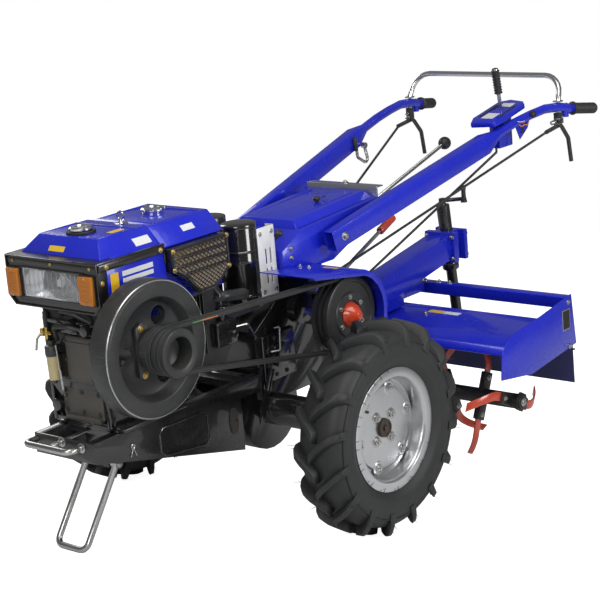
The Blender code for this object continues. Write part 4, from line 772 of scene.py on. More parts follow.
make_wheel_fittings("left", Matrix())
make_wheel_fittings("right", MIRROR_X)

# %% [markdown]
# ## Flywheel and belts
# The flywheel is a heavy ring on a thin web, turned, with three holes bored
# through the web. The pulley sits outside it on a three-armed plate. The
# belts run as two loops, each cut from an outline of arcs and straights.

# %% Flywheel
CRANK = (-0.606, 0.371)
CLUTCH = (0.15, 0.28)


def round_centre(centre, radius, degrees, x=0.0):
    """A place round a shaft's centre (Y, Z), at a distance and an angle."""
    angle = radians(degrees)
    return Vector((x, centre[0] + radius * cos(angle), centre[1] + radius * sin(angle)))


flywheel_outline = [(0.261, 0.0), (0.261, 0.052), (0.229, 0.054), (0.226, 0.058), (0.226, 0.126),
    (0.229, 0.13), (0.239, 0.133), (0.243, 0.136), (0.2575, 0.142), (0.2595, 0.144), (0.26, 0.146),
    (0.26, 0.179), (0.2585, 0.18), (0.2585, 0.187), (0.2575, 0.1895), (0.255, 0.1912), (0.252, 0.1918),
    (0.199, 0.1918), (0.1955, 0.19), (0.195, 0.14), (0.209, 0.136), (0.209, 0.045), (0.132, 0.045),
    (0.132, 0.0)]
flywheel = turned(flywheel_outline, CRANK, 96)
flywheel = cut(flywheel, *[bar(round_centre(CRANK, 0.094, angle, 0.19),
    round_centre(CRANK, 0.094, angle, 0.245), 0.027, 40) for angle in (60, 180, 300)])
deliver(flywheel, "flywheel_ring", "flywheel_set", "dark_iron", ("flywheel",), 40)

# %% Three-armed plate with its bolts, and the pulley
spider = []
heads = []
for angle in (0, 120, 240):
    for side in (-9.5, 9.5):
        spot = round_centre(CRANK, 0.088, angle + side)
        spider.append((spot.y, spot.z))
    heads.append(bolt(round_centre(CRANK, 0.074, angle, 0.24), (1, 0, 0), 0.0078, 0.006))
deliver(plate(spider, 0.227, 0.24, "X", 0.003), "pulley_spider", "flywheel_set", "dark_iron")
deliver(merged(*heads), "spider_bolts", "flywheel_set", "yellow_zinc")
# A thin ring of bright steel on the flywheel's outer chamfer: a painted highlight where the edge catches the
# light.
glint = turned([(0.2588, 0.1868), (0.259, 0.1885), (0.2572, 0.19), (0.256, 0.189), (0.2588, 0.1868)], CRANK,
    96)
deliver(glint, "flywheel_painted_highlight", "flywheel_set", "bright_steel")

pulley_outline = [(0.262, 0.0), (0.262, 0.066), (0.263, 0.067), (0.278, 0.067), (0.279, 0.066),
    (0.2815, 0.0555), (0.2945, 0.0555), (0.297, 0.065), (0.299, 0.065), (0.3015, 0.0555), (0.3145, 0.0555),
    (0.317, 0.066), (0.318, 0.067), (0.3235, 0.067), (0.325, 0.0645), (0.329, 0.064), (0.331, 0.067),
    (0.343, 0.067), (0.345, 0.065), (0.345, 0.047), (0.3435, 0.045), (0.297, 0.0425), (0.295, 0.04),
    (0.295, 0.0)]
deliver(turned(pulley_outline, CRANK, 72), "engine_pulley_turned", "flywheel_set", "dark_iron",
        ("engine_pulley",), 40)

# %% Two belts
def belt_loop(radius_one, radius_two, steps=28):
    """A belt's outline, (Y, Z), round the engine pulley and the clutch pulley."""
    one, two = Vector(CRANK), Vector(CLUTCH)
    apart = two - one
    slope = atan2(apart.y, apart.x)
    spread = acos((radius_one - radius_two) / apart.length)
    points = []
    for centre, radius, start, end in ((one, radius_one, slope + spread, slope + 2 * pi - spread),
                                       (two, radius_two, slope - spread, slope + spread)):
        for i in range(steps + 1):
            angle = start + (end - start) * i / steps
            points.append((centre.x + radius * cos(angle), centre.y + radius * sin(angle)))
    return points


belts = []
for low_x in (0.2815, 0.3015):
    loop = plate(belt_loop(0.0675, 0.1175), low_x, low_x + 0.013)
    loop = cut(loop, plate(belt_loop(0.0572, 0.1072), low_x - 0.01, low_x + 0.03))
    belts.append(bevelled(loop, 0.0012, 1, 40))
deliver(merged(*belts), "belt_pair", "tractor", "belt_rubber", ("drive_belts",), 40)

# %% Short painted marks on the outer belt
loop = belt_loop(0.062, 0.112)
run_end, run_start = Vector(loop[-1]), Vector(loop[0])
along = (run_end - run_start).normalized()
for surface, start, stop in (("stripe_green", 0.085, 0.118), ("stripe_orange", 0.118, 0.185)):
    one, two = run_start + along * start, run_start + along * stop
    mark = bar((0.3135, *one), (0.3135, *two), 0.0018, 8, 0.0004)
    deliver(mark, f"belt_{surface}", "tractor", surface)

# %% Clutch pulley: four grooves and a flat face with its bolts
clutch_outline = [(0.2625, 0.0), (0.2625, 0.115), (0.264, 0.117), (0.279, 0.117), (0.281, 0.106),
    (0.295, 0.106), (0.297, 0.116), (0.299, 0.116), (0.301, 0.106), (0.315, 0.106), (0.317, 0.117),
    (0.3235, 0.117), (0.325, 0.115), (0.325, 0.101), (0.3205, 0.0985), (0.3205, 0.07), (0.325, 0.0675),
    (0.325, 0.044), (0.32, 0.042), (0.32, 0.0)]
deliver(turned(clutch_outline, CLUTCH, 72), "clutch_pulley_turned", "clutch_set", "dark_iron",
        ("clutch_pulley",), 40)
heads = [bolt(round_centre(CLUTCH, 0.0555, 30 + 60 * k, 0.325), (1, 0, 0), 0.0062, 0.0045) for k in range(6)]
deliver(merged(*heads), "clutch_bolts", "clutch_set", "bright_steel")

# %% [markdown]
# ## One call for small fittings
# From here on most pieces are small groups that share a body and a finish. A
# group is joined and delivered.


def add(name, surface, *items, body="tractor", replaces=(), angle=32):
    return deliver(merged(*items), name, body, surface, replaces, angle)


def aimed(item, at, direction):
    """Turn a piece made along X to point along a direction, at a place."""
    turn = Vector((1, 0, 0)).rotation_difference(Vector(direction)).to_matrix().to_4x4()
    return moved(item, Matrix.Translation(Vector(at)) @ turn)


def placed(item, at, across, up):
    """Put a piece made flat in X and Y onto a sloped face."""
    across, up = Vector(across).normalized(), Vector(up).normalized()
    out = across.cross(up).normalized()
    turn = Matrix((across, out.cross(across), out)).transposed().to_4x4()
    return moved(item, Matrix.Translation(Vector(at)) @ turn)


def label(at, across, up, width, height, thick=0.0006):
    """A blank sticker with round corners."""
    corner = min(width, height) * 0.15
    sheet = block((-width / 2, -height / 2, -0.0002), (width / 2, height / 2, thick), 0.0)
    return placed(bevelled(sheet, min(corner, thick * 0.4), 1, 60), at, across, up)


def frame_of(low, high, wall, depth_low, depth_high, bevel=0.001):
    """A flat rectangular frame in X and Z, from one Y to another."""
    ring = block((low[0], depth_low, low[1]), (high[0], depth_high, high[1]), 0.0)
    hole = block((low[0] + wall, depth_low - 0.01, low[1] + wall),
        (high[0] - wall, depth_high + 0.01, high[1] - wall), 0.0)
    return bevelled(cut(ring, hole), bevel, 2)


def spun(profile, at, direction, steps=40):
    """Turn an (X, radius) outline, then aim it."""
    return aimed(turned(profile, (0.0, 0.0), steps), at, direction)


# %% [markdown]
# ## Headlamp and signals
# The lamp is a bright dish behind ribbed clear glass, with a bulb in the
# middle. The two signals are amber lenses with ribs and a screw at each end.

# %% Headlamp
dish = block((-0.158, -0.686, 0.501), (0.088, -0.63, 0.583), 0.0)
mouth = plate([(-0.154, 0.505), (0.084, 0.505), (0.084, 0.579), (-0.154, 0.579)], -0.69, -0.64, "Y")
for vert in mouth.data.vertices:
    if vert.co.y > -0.65:
        vert.co.x = -0.035 + (vert.co.x + 0.035) * 0.62
        vert.co.z = 0.542 + (vert.co.z - 0.542) * 0.55
dish = cut(dish, mouth, bar((-0.035, -0.69, 0.542), (-0.035, -0.634, 0.542), 0.037, 40, end_radius=0.02))
add("lamp_dish", "chrome", bevelled(dish, 0.0012, 2))
bulb = spun([(0.0, 0.0), (0.0, 0.01), (0.01, 0.012), (0.022, 0.012), (0.03, 0.008), (0.033, 0.0)],
            (-0.035, -0.64, 0.542), (0, -1, 0), 24)
add("lamp_bulb", "blank_label", bulb)
glass = block((-0.158, -0.6895, 0.501), (0.088, -0.6868, 0.583), 0.0008)
ribs = [bar((x, -0.6897, 0.506), (x, -0.6897, 0.578), 0.0012, 6)
    for x in [-0.148 + 0.0186 * k for k in range(13)]]
add("lamp_glass", "clear_lens", glass, *ribs, replaces=("headlamp",))

# %% Turn signals
def signal(low_x, high_x, name, node):
    """One turn signal: ribbed lens, two screws and a dark rim."""
    lens_block = block((low_x, -0.705, 0.501), (high_x, -0.6905, 0.581), 0.004, 3)
    ribs = [block((low_x + 0.005, -0.7062, z), (high_x - 0.005, -0.7045, z + 0.0022), 0.0006, 1)
            for z in [0.512 + 0.0052 * k for k in range(12)]]
    add(name, "amber_lens", lens_block, *ribs, replaces=(node,))
    middle = (low_x + high_x) / 2
    screws = [bar((middle, -0.704, z), (middle, -0.7062, z), 0.0034, 14, 0.0006) for z in (0.5055, 0.5765)]
    add(f"{name}_screws", "bright_steel", *screws)
    rim = frame_of((low_x - 0.003, 0.498), (high_x + 0.003, 0.584), 0.003, -0.696, -0.6895)
    add(f"{name}_rim", "grip_plastic", rim)


signal(0.08, 0.134, "signal_left", "turn_signal_left")
signal(-0.212, -0.164, "signal_right", "turn_signal_right")

# %% Housing trim: the folded front edge, the window's frame and the bolts
def chamfered(grow):
    """The housing's front outline, (X, Z), with its lower corners cut off."""
    low_x, high_x, low_z, high_z, corner = -0.2195 - grow, 0.1495 + grow, 0.4735 - grow, 0.6165 + grow, 0.024
    return [(low_x, high_z), (low_x, low_z + corner), (low_x + corner, low_z), (high_x - corner, low_z),
            (high_x, low_z + corner), (high_x, high_z)]


window = frame_of((-0.163, 0.496), (0.093, 0.588), 0.005, -0.693, -0.689)
edge = bevelled(cut(plate(chamfered(0.0), -0.6945, -0.689, "Y"), plate(chamfered(-0.0045), -0.7, -0.68, "Y")),
    0.001, 2)
strip = block((-0.215, -0.692, 0.595), (0.145, -0.6895, 0.608), 0.0008)
add("housing_trim", "black_paint", window, edge, strip)
heads = [bolt((x, y, z), (1, 0, 0), 0.0058, 0.004) for x, y, z in ((0.157, -0.664, 0.603),
    (0.157, -0.455, 0.603), (0.1503, -0.678, 0.56), (0.1503, -0.678, 0.5))]
heads += [bolt((-0.2203, y, z), (-1, 0, 0), 0.005, 0.0035) for y, z in ((-0.64, 0.6), (-0.64, 0.49))]
heads += [bolt((x, -0.6922, 0.6015), (0, -1, 0), 0.0036, 0.0025) for x in (-0.19, -0.035, 0.12)]
add("housing_bolts", "yellow_zinc", *heads)

# %% The blue side panel's forward skin and the black strip over it
skin = block((0.1495, -0.66, 0.425), (0.1525, -0.437, 0.595), 0.0012)
skin = cut(skin, bar((0.14, *CRANK), (0.16, *CRANK), 0.15, 64))
add("side_panel_skin", "blue_paint", skin)
fold = [block((0.149, -0.69, 0.593), (0.1568, -0.438, 0.613), 0.0022),
        block((0.13, -0.442, 0.56), (0.156, -0.437, 0.612), 0.0015)]
add("side_strip", "black_paint", *fold)

# %% [markdown]
# ## Tank, radiator and side panel
# Pressed lines and blank labels break up the broad blue faces. The caps are
# turned and then ringed with lobes for the fingers, and a steel eye for
# lifting the engine stands between tank and radiator.

# %% Caps
def lobed_cap(at, radius, height, lobes):
    """A turned cap with rounded lobes for the fingers."""
    body = spun([(-0.004, 0.0), (-0.004, radius * 0.86), (height * 0.25, radius * 0.9),
        (height * 0.45, radius), (height * 0.8, radius), (height, radius * 0.86), (height, radius * 0.55),
        (height * 0.86, radius * 0.5), (height * 0.86, 0.0)], at, (0, 0, 1), 56)
    at = Vector(at)
    bumps = []
    for k in range(lobes):
        angle = 2 * pi * k / lobes
        foot = at + Vector((cos(angle), sin(angle), 0)) * (radius * 0.97)
        bumps.append(bar(foot + Vector((0, 0, height * 0.4)), foot + Vector((0, 0, height * 0.86)),
            radius * 0.1, 12, 0.001))
    return merged(body, *bumps)


add("fuel_cap_chrome", "chrome", lobed_cap((-0.03, -0.57, 0.668), 0.033, 0.016, 0), replaces=("fuel_cap",))
collar = spun([(0.0, 0.0), (0.0, 0.042), (0.006, 0.0425), (0.0085, 0.04), (0.0085, 0.0)],
    (-0.03, -0.57, 0.6635), (0, 0, 1))
add("fuel_cap_collar", "gasket", collar)
add("radiator_cap_lobed", "chrome", lobed_cap((-0.03, -0.285, 0.6625), 0.0345, 0.016, 8),
    replaces=("radiator_cap",))

# %% Lifting eye
eye_points = [(-0.012 + 0.012 * cos(a), -0.4315, 0.684 + 0.012 * sin(a))
              for a in steps_round(24, 1)]
eye = merged(bent(eye_points, 0.004, 12),
             bar((-0.012, -0.4315, 0.655), (-0.012, -0.4315, 0.675), 0.006, 20, 0.001),
             bar((-0.012, -0.4315, 0.66), (-0.012, -0.4315, 0.664), 0.02, 32, 0.001),
             bar((-0.012, -0.4315, 0.664), (-0.012, -0.4315, 0.671), 0.0095, 6, 0.001))
add("lifting_eye", "chrome", eye)

# %% Pressed lines and the seam between tank and radiator
lines = []
# left edge, right edge, front edge, rear edge, base
for x0, x1, y0, y1, z in ((-0.15, 0.085, -0.615, -0.473, 0.6632), (-0.14, 0.08, -0.395, -0.213, 0.6592)):
    wide = 0.005
    for low, high in (((x0, y0), (x1, y0 + wide)), ((x0, y1 - wide), (x1, y1)),
                      ((x0, y0), (x0 + wide, y1)), ((x1 - wide, y0), (x1, y1))):
        lines.append(block((*low, z), (*high, z + 0.002), 0.0009))
add("pressed_lines", "blue_paint", *lines)
add("tank_seam", "gasket", bar((-0.15, -0.4318, 0.66), (0.085, -0.4318, 0.66), 0.0022, 10))

# %% Blank labels on tank and side panel
FRONT_SLOPE = (0, 0.05, 0.062)
SIDE_SLOPE = (-0.055, 0, 0.062)
UP = (0, 0, 1)
# name, surface, place, direction across, direction up, width, height
for name, surface, *place in (
        ("tank_front", "label_yellow", (-0.055, -0.6435, 0.6331), (1, 0, 0), FRONT_SLOPE, 0.062, 0.017),
        ("tank_side", "blank_label", (0.113, -0.48, 0.6331), (0, 1, 0), SIDE_SLOPE, 0.062, 0.026),
        ("tank_top", "label_yellow", (0.055, -0.52, 0.6642), (0, 1, 0), (-1, 0, 0), 0.05, 0.022),
        ("radiator_side", "blank_label", (0.117, -0.3, 0.6331), (0, 1, 0), SIDE_SLOPE, 0.05, 0.02),
        ("panel_small", "label_yellow", (0.1527, -0.634, 0.553), (0, 1, 0), UP, 0.03, 0.054)):
    add(f"label_{name}", surface, label(*place))
add("label_panel_wide", "blank_label", label((0.1527, -0.545, 0.571), (0, 1, 0), (0, 0, 1), 0.118, 0.014),
    label((0.1527, -0.545, 0.552), (0, 1, 0), (0, 0, 1), 0.118, 0.012))

# %% [markdown]
# ## Radiator grille
# The guard over the radiator is wire mesh in a pressed frame, with three ribs
# across it. Each wire is the part of a slanted line that falls inside the
# frame's outline, so the wires end where the frame begins.

# %% Mesh wires
GRILLE = [(-0.424, 0.592), (-0.424, 0.539), (-0.372, 0.506), (-0.328, 0.458), (-0.264, 0.458),
    (-0.202, 0.503), (-0.202, 0.592)]


def crossings(outline, slope, offset):
    """Where the line z = slope * y + offset crosses an outline, from front to rear."""
    found = []
    for (y0, z0), (y1, z1) in zip(outline, outline[1:] + outline[:1]):
        d0, d1 = z0 - slope * y0 - offset, z1 - slope * y1 - offset
        if (d0 < 0) != (d1 < 0):
            part = d0 / (d0 - d1)
            found.append((y0 + (y1 - y0) * part, z0 + (z1 - z0) * part))
    return sorted(found)


wires = []
for slope, x in ((0.8, 0.1716), (-0.8, 0.1724)):
    for k in range(60):
        ends = crossings(GRILLE, slope, 0.1 + 0.013 * k if slope > 0 else -0.2 + 0.013 * k)
        for one, two in zip(ends[::2], ends[1::2]):
            wires.append(bar((x, *one), (x, *two), 0.0013, 5))
add("grille_mesh", "black_gloss", *wires)
add("radiator_core", "core_brown", plate(GRILLE, 0.17, 0.1713))
ribs = [block((0.1705, crossings(GRILLE, 0.0, z)[0][0], z - 0.003),
    (0.1755, crossings(GRILLE, 0.0, z)[-1][0], z + 0.003), 0.0015) for z in (0.57, 0.545, 0.52)]
rim = [bar((0.1722, *one), (0.1722, *two), 0.0042, 10) for one, two in zip(GRILLE, GRILLE[1:] + GRILLE[:1])]
add("grille_frame", "black_gloss", *rim, *ribs)
spots = [(-0.424, 0.592), (-0.202, 0.592), (-0.424, 0.539), (-0.202, 0.503)]
add("grille_bolts", "yellow_zinc", *[bolt((0.1735, y, z), (1, 0, 0), 0.006, 0.0045) for y, z in spots])

# %% [markdown]
# ## Front of the engine
# The timing cover, its ring of bolts, the fuel filter with its glass bowl, the
# brass tap and the steel pipes are what a mechanic sees first.

# %% Covers and castings
cover = block((-0.034, -0.678, 0.262), (0.082, -0.66, 0.396), 0.0)
apply_modifier(cover, "BEVEL", width=0.02, segments=5, limit_method="ANGLE", angle_limit=1.0, affect="EDGES")
face = block((-0.022, -0.6815, 0.276), (0.07, -0.677, 0.382), 0.004, 3)
add("timing_cover", "cover_grey", cover, face)
webs = [block((-0.118, -0.672, 0.14), (-0.106, -0.655, 0.455), 0.003),
        block((0.098, -0.672, 0.14), (0.11, -0.655, 0.455), 0.003),
        block((-0.118, -0.67, 0.425), (0.11, -0.655, 0.438), 0.003),
        block((-0.118, -0.67, 0.142), (0.11, -0.655, 0.154), 0.003),
        bar((0.062, -0.655, 0.42), (0.062, -0.69, 0.42), 0.016, 24, 0.003),
        bar((0.0, -0.655, 0.425), (0.0, -0.686, 0.425), 0.02, 24, 0.003),
        bar((-0.085, -0.655, 0.19), (-0.085, -0.688, 0.19), 0.018, 24, 0.003),
        block((-0.06, -0.684, 0.405), (0.03, -0.655, 0.418), 0.004)]
add("front_castings", "black_gloss", *webs)
lower = block((-0.07, -0.674, 0.16), (0.09, -0.656, 0.25), 0.006, 3)
ledge = block((-0.06, -0.68, 0.15), (0.08, -0.656, 0.168), 0.004, 2)
add("sump_front", "cover_grey", lower, ledge)
heads = [bolt((x, -0.6795, z), (0, -1, 0), 0.0048, 0.0036) for x in (-0.026, 0.074)
    for z in (0.276, 0.329, 0.382)]
heads += [bolt((x, -0.6745, z), (0, -1, 0), 0.0055, 0.0042) for x in (-0.055, 0.012, 0.078)
    for z in (0.178, 0.236)]
add("cover_bolts", "dark_iron", *heads)

# %% Fuel filter, tap and pipes
def by_filter(x, y, z):
    """A place measured from the foot of the filter's axis."""
    return Vector((-0.07, -0.693, 0.0)) + Vector((x, y, z))


bowl = spun([(0.0, 0.0), (0.0, 0.009), (0.004, 0.016), (0.07, 0.0175), (0.074, 0.0175), (0.074, 0.0)],
    by_filter(0, 0, 0.266), (0, 0, 1), 32)
add("filter_bowl", "fuel_amber", bowl)
spare = spun([(0.0, 0.0), (0.0, 0.017), (0.004, 0.0195), (0.09, 0.02), (0.094, 0.018), (0.094, 0.0)],
    (-0.16, -0.61, 0.331), (0, 0, 1), 32)
add("filter_can", "silver_paint", spare, replaces=("fuel_filter",))
head = merged(bar(by_filter(0, 0, 0.338), by_filter(0, 0, 0.368), 0.0195, 32, 0.003),
              bar(by_filter(0, 0, 0.258), by_filter(0, 0, 0.268), 0.007, 6, 0.001),
              bar(by_filter(0, 0, 0.366), by_filter(0, 0, 0.38), 0.008, 6, 0.001),
              block((-0.084, -0.69, 0.344), (-0.056, -0.656, 0.362), 0.003))
add("filter_head", "dark_iron", head)
tap = merged(bar(by_filter(-0.012, 0.0, 0.385), by_filter(-0.012, 0.0, 0.418), 0.0062, 6, 0.001),
             bar(by_filter(-0.03, 0.0, 0.402), by_filter(0.008, 0.0, 0.402), 0.005, 14, 0.001),
             bar(by_filter(-0.03, 0.0, 0.392), by_filter(-0.03, 0.0, 0.414), 0.0075, 6, 0.001),
             bar(by_filter(0.02, 0.0, 0.3), by_filter(0.02, 0.0, 0.318), 0.004, 6, 0.0008))
add("fuel_tap", "brass", tap)
lever = hose([by_filter(-0.032, -0.004, 0.4), by_filter(-0.04, -0.014, 0.385),
    by_filter(-0.046, -0.016, 0.352)], 0.006, 0.0034)
pipe = hose([by_filter(0.02, 0.0, 0.372), by_filter(0.024, 0.0, 0.3), by_filter(0.022, 0.006, 0.24),
    (-0.06, -0.668, 0.2)], 0.01, 0.0034)
add("fuel_pipes", "bright_steel", lever, pipe)
feed = [hose([by_filter(-0.012, 0.0, 0.412), by_filter(-0.02, 0.01, 0.46), (-0.12, -0.65, 0.49)], 0.012,
    0.0042),
        hose([(0.05, -0.68, 0.42), (0.02, -0.704, 0.432), (-0.045, -0.7, 0.425), (-0.06, -0.676, 0.38)],
            0.014, 0.006, 12),
        hose([(-0.04, -0.664, 0.452), (-0.02, -0.692, 0.47), (0.04, -0.694, 0.468), (0.075, -0.668, 0.44)],
            0.012, 0.0048)]
add("front_hoses", "grip_plastic", *feed)

# %% [markdown]
# ## Muffler and heat shield
# The muffler is a sheet can, so it gets two rolled bands and a domed lid, each
# one a turned outline. The bright shield keeps the driver's hand off it, and
# four bolts and a knob hold it on.

# %% Bands, lid and shield fittings
MUFFLER = Vector((0.08, -0.048, 0.0))
bands = [spun([(-0.004, 0.048), (-0.004, 0.0525), (-0.002, 0.0545), (0.002, 0.0545), (0.004, 0.0525),
    (0.004, 0.048), (-0.004, 0.048)], MUFFLER + Vector((0, 0, z)), (0, 0, 1), 48) for z in (0.372, 0.505)]
lid = spun([(0.0, 0.0), (0.0, 0.05), (0.001, 0.0545), (0.006, 0.055), (0.01, 0.0535), (0.013, 0.048),
    (0.015, 0.03), (0.0155, 0.0)], MUFFLER + Vector((0, 0, 0.576)), (0, 0, 1), 48)
add("muffler_trim", "black_gloss", lid, *bands)
shield = [bolt((0.1357, y, z), (1, 0, 0), 0.005, 0.0035)
    for y, z in ((-0.018, 0.55), (0.034, 0.55), (-0.018, 0.372), (0.034, 0.372))]
add("shield_bolts", "bright_steel", *shield)
knob = spun([(0.0, 0.0), (0.0, 0.004), (0.012, 0.005), (0.016, 0.011), (0.026, 0.012), (0.031, 0.007),
    (0.032, 0.0)], (0.13, 0.06, 0.52), (0.6, 0, 0.8), 24)
add("shield_knob", "grip_plastic", knob)

# %% [markdown]
# ## Side of the engine and gearbox
# Between flywheel and wheel sit the rocker cover, the exhaust elbow, the
# gearbox's side cover with its bolts, a strap and a hook rod. They are small
# castings and bent bars, and they keep that dark middle from looking empty.

# %% Castings behind the belts
rocker = [block((-0.08, -0.25, 0.425), (0.092, -0.13, 0.462), 0.01, 3),
          block((-0.07, -0.24, 0.455), (0.082, -0.14, 0.472), 0.006, 3)]
fins = [block((-0.098, -0.375 + 0.014 * k, 0.245), (0.114, -0.371 + 0.014 * k, 0.425), 0.0012, 1)
    for k in range(9)]
side_cover = [block((0.108, -0.03, 0.085), (0.12, 0.118, 0.232), 0.01, 3),
              bar((0.112, 0.045, 0.16), (0.13, 0.045, 0.16), 0.04, 40, 0.004)]
pump = [block((0.1, -0.235, 0.255), (0.134, -0.15, 0.33), 0.006, 3),
        bar((0.116, -0.192, 0.32), (0.116, -0.192, 0.372), 0.016, 24, 0.003),
        bar((0.128, -0.17, 0.285), (0.146, -0.17, 0.285), 0.013, 6, 0.002)]
add("side_castings", "black_gloss", *rocker, *fins, *side_cover, *pump)
elbow = hose([(0.04, -0.215, 0.385), (0.12, -0.19, 0.4), (0.118, -0.09, 0.385), (0.085, -0.055, 0.365)], 0.03,
    0.017, 20)
add("exhaust_elbow", "dark_iron", elbow)
ring = [bolt((0.12, 0.045 + 0.062 * cos(a), 0.16 + 0.062 * sin(a)), (1, 0, 0), 0.0055, 0.0042)
        for a in [pi * (2 * k + 1) / 8 for k in range(8)]]
add("side_cover_bolts", "dark_iron", *ring)
lines = [hose([(0.116, -0.192, 0.37), (0.122, -0.2, 0.41), (0.06, -0.215, 0.475), (0.0, -0.2, 0.47)], 0.015,
    0.0028),
         hose([(0.128, -0.15, 0.3), (0.14, -0.11, 0.3), (0.138, -0.08, 0.25), (0.118, -0.06, 0.235)], 0.012,
             0.003)]
hook = hose([(0.15, -0.01, 0.262), (0.15, 0.018, 0.258), (0.15, 0.012, 0.185), (0.124, 0.0, 0.18)], 0.008,
    0.003)
add("injection_lines", "bright_steel", *lines, hook)
strap = [block((-0.0025, -0.007, 0.0), (0.0025, 0.007, 0.16), 0.0012),
         block((-0.0025, 0.011, 0.0), (0.0025, 0.018, 0.16), 0.0012)]
strap = [moved(item, Matrix.Translation((0.131, -0.082, -0.012)) @ Matrix.Rotation(radians(-24), 4, "X"))
    for item in strap]
add("side_strap", "black_gloss", *strap)

# %% [markdown]
# ## Chassis and bumper
# The frame rail is folded sheet with a pressed panel to stiffen it, drawn here
# as a raised bead bent along the panel's outline. The bumper is held by long
# studs, so that it can be set further out when weights hang on it.

# %% Rail pressing, tag, cotter pin
recess = [(0.1204, *p) for p in [(-0.4, 0.087), (-0.315, 0.085), (-0.3, 0.07), (-0.3, 0.0), (-0.318, -0.014),
                                 (-0.48, 0.004), (-0.5, 0.02), (-0.5, 0.075), (-0.485, 0.088), (-0.4, 0.087)]]
add("rail_pressing", "black_gloss", bent(recess, 0.003, 10))
tag_outline = [(-0.1887 + 0.0175 * copysign(abs(cos(a)) ** 0.6, cos(a)), 0.018 + 0.04 * sin(a))
    for a in steps_round(28)]
tag = cut(plate(tag_outline, 0.12, 0.1228), bar((0.115, -0.181, 0.016), (0.13, -0.181, 0.016), 0.0065, 20))
add("rail_tag", "cover_grey", tag, bolt((0.12, -0.181, 0.004), (1, 0, 0), 0.0048, 0.004))
pin = [bent([(0.1235, -0.6087 + 0.007 * cos(a), 0.074 + 0.007 * sin(a)) for a in steps_round(16, 1)], 0.0014,
    8), bar((0.1235, -0.609, 0.067), (0.124, -0.62, 0.046), 0.0013, 8),
    bar((0.1235, -0.607, 0.067), (0.124, -0.598, 0.044), 0.0013, 8),
    bar((0.118, -0.6087, 0.074), (0.126, -0.6087, 0.074), 0.0045, 14, 0.0008)]
add("cotter_pin", "bright_steel", *pin)

# %% Bumper bolts and studs
nuts = []
for x, z in ((-0.008, 0.112), (0.07, 0.106)):
    nuts += [bolt((x, -0.75, z), (0, -1, 0), 0.0105, 0.009),
             bolt((x, -0.768, z), (0, -1, 0), 0.0095, 0.008, False),
             bar((x, -0.6, z + 0.006), (x, -0.79, z), 0.0052, 16, 0.0008)]
add("bumper_bolts", "bright_steel", *nuts)
stand_bolts = [bolt((x, -0.576, -0.005), (side, 0, 0), 0.0075, 0.0055)
    for x, side in ((0.025, 1), (-0.121, -1))]
add("stand_bolts", "bright_steel", *stand_bolts, body="stand")
feet = [block((x - 0.01, -0.655, 0.1235), (x + 0.01, -0.4, 0.133), 0.002) for x in (-0.105, 0.105)]
feet += [bolt((x, y, 0.133), (0, 0, 1), 0.007, 0.006) for x in (-0.105, 0.105) for y in (-0.64, -0.42)]
add("engine_feet", "black_gloss", *feet)

# %% [markdown]
# ## Tool box, guard and strap
# The lid has a knob to lift it, a loop for a padlock and two pressed ribs. All
# three ride the lid, so they swing with it. The rest stays on the tractor.

# %% Lid fittings
knob = spun([(0.0, 0.0), (0.0, 0.006), (0.005, 0.007), (0.008, 0.0125), (0.014, 0.013), (0.017, 0.01),
    (0.018, 0.0)], (0.04, 0.3725, 0.5615), (0, -0.07, 1), 28)
loop = bent([(0.043 + 0.008 * cos(a), 0.409, 0.568 + 0.007 * sin(a))
    for a in [pi * k / 10 for k in range(11)]], 0.002, 8)
add("lid_knob", "grip_plastic", knob, body="box_lid")
add("lid_loop", "dark_iron", loop, body="box_lid")
press = [block((-0.085, 0.215, 0.549), (-0.081, 0.5, 0.552), 0.0008, 1),
         block((0.081, 0.215, 0.549), (0.085, 0.5, 0.552), 0.0008, 1)]
press = [moved(item, Matrix.Translation((0, 0.215, 0.5505)) @ Matrix.Rotation(radians(4.0), 4,
    "X") @ Matrix.Translation((0, -0.215, -0.5505))) for item in press]
add("lid_pressing", "blue_paint", *press, body="box_lid")
add("strap_bolts", "bright_steel", bolt((0.0, 0.571, 0.5822), (0, 0, 1), 0.009, 0.006))
catch = [block((0.052, 0.118, 0.512), (0.086, 0.15, 0.524), 0.004, 3),
         block((0.06, 0.1, 0.516), (0.078, 0.128, 0.522), 0.002)]
add("box_catch", "blue_paint", *catch)
add("guard_label", "label_yellow", label((0.26, 0.148, 0.4197), (1, 0, 0), (0, 0.99, -0.13), 0.052, 0.018))
heads = [bolt((0.1656, 0.1178, 0.4231), (0, 0.13, 0.99), 0.006, 0.0045),
         bolt((0.2, 0.1178, 0.4231), (0, 0.13, 0.99), 0.006, 0.0045)]
heads += [bolt((0.1502, 0.1, z), (1, 0, 0), 0.006, 0.005) for z in (0.452, 0.48)]
add("guard_bolts", "bright_steel", *heads)

# %% [markdown]
# ## Handles and controls
# The grips are turned with rings so a hand can hold them. Under each one a
# plated clevis carries the steering lever. The clutch lever's grip is a
# stack of rubber discs, and the dash has slots and a blank plate.

# %% Grips
GRIP_START, GRIP_STOP = Vector((0.327, 1.462, 0.692)), Vector((0.352, 1.573, 0.676))
grip_outline = [(0.0, 0.0), (0.0, 0.0225), (0.0015, 0.024), (0.0045, 0.024), (0.006, 0.0205)]
for k in range(16):
    grip_outline += [(0.0085 + 0.006 * k, 0.0196), (0.0105 + 0.006 * k, 0.0184), (0.0125 + 0.006 * k, 0.0196)]
grip_outline += [(0.108, 0.0196), (0.113, 0.017), (0.1148, 0.012), (0.1148, 0.0)]
grip = spun(grip_outline, GRIP_START, GRIP_STOP - GRIP_START, 40)
other = outwards(copied(grip, MIRROR_X))
add("grip_ribbed_left", "grip_plastic", grip, replaces=("grip_left",), angle=50)
add("grip_ribbed_right", "grip_plastic", other, replaces=("grip_right",), angle=50)

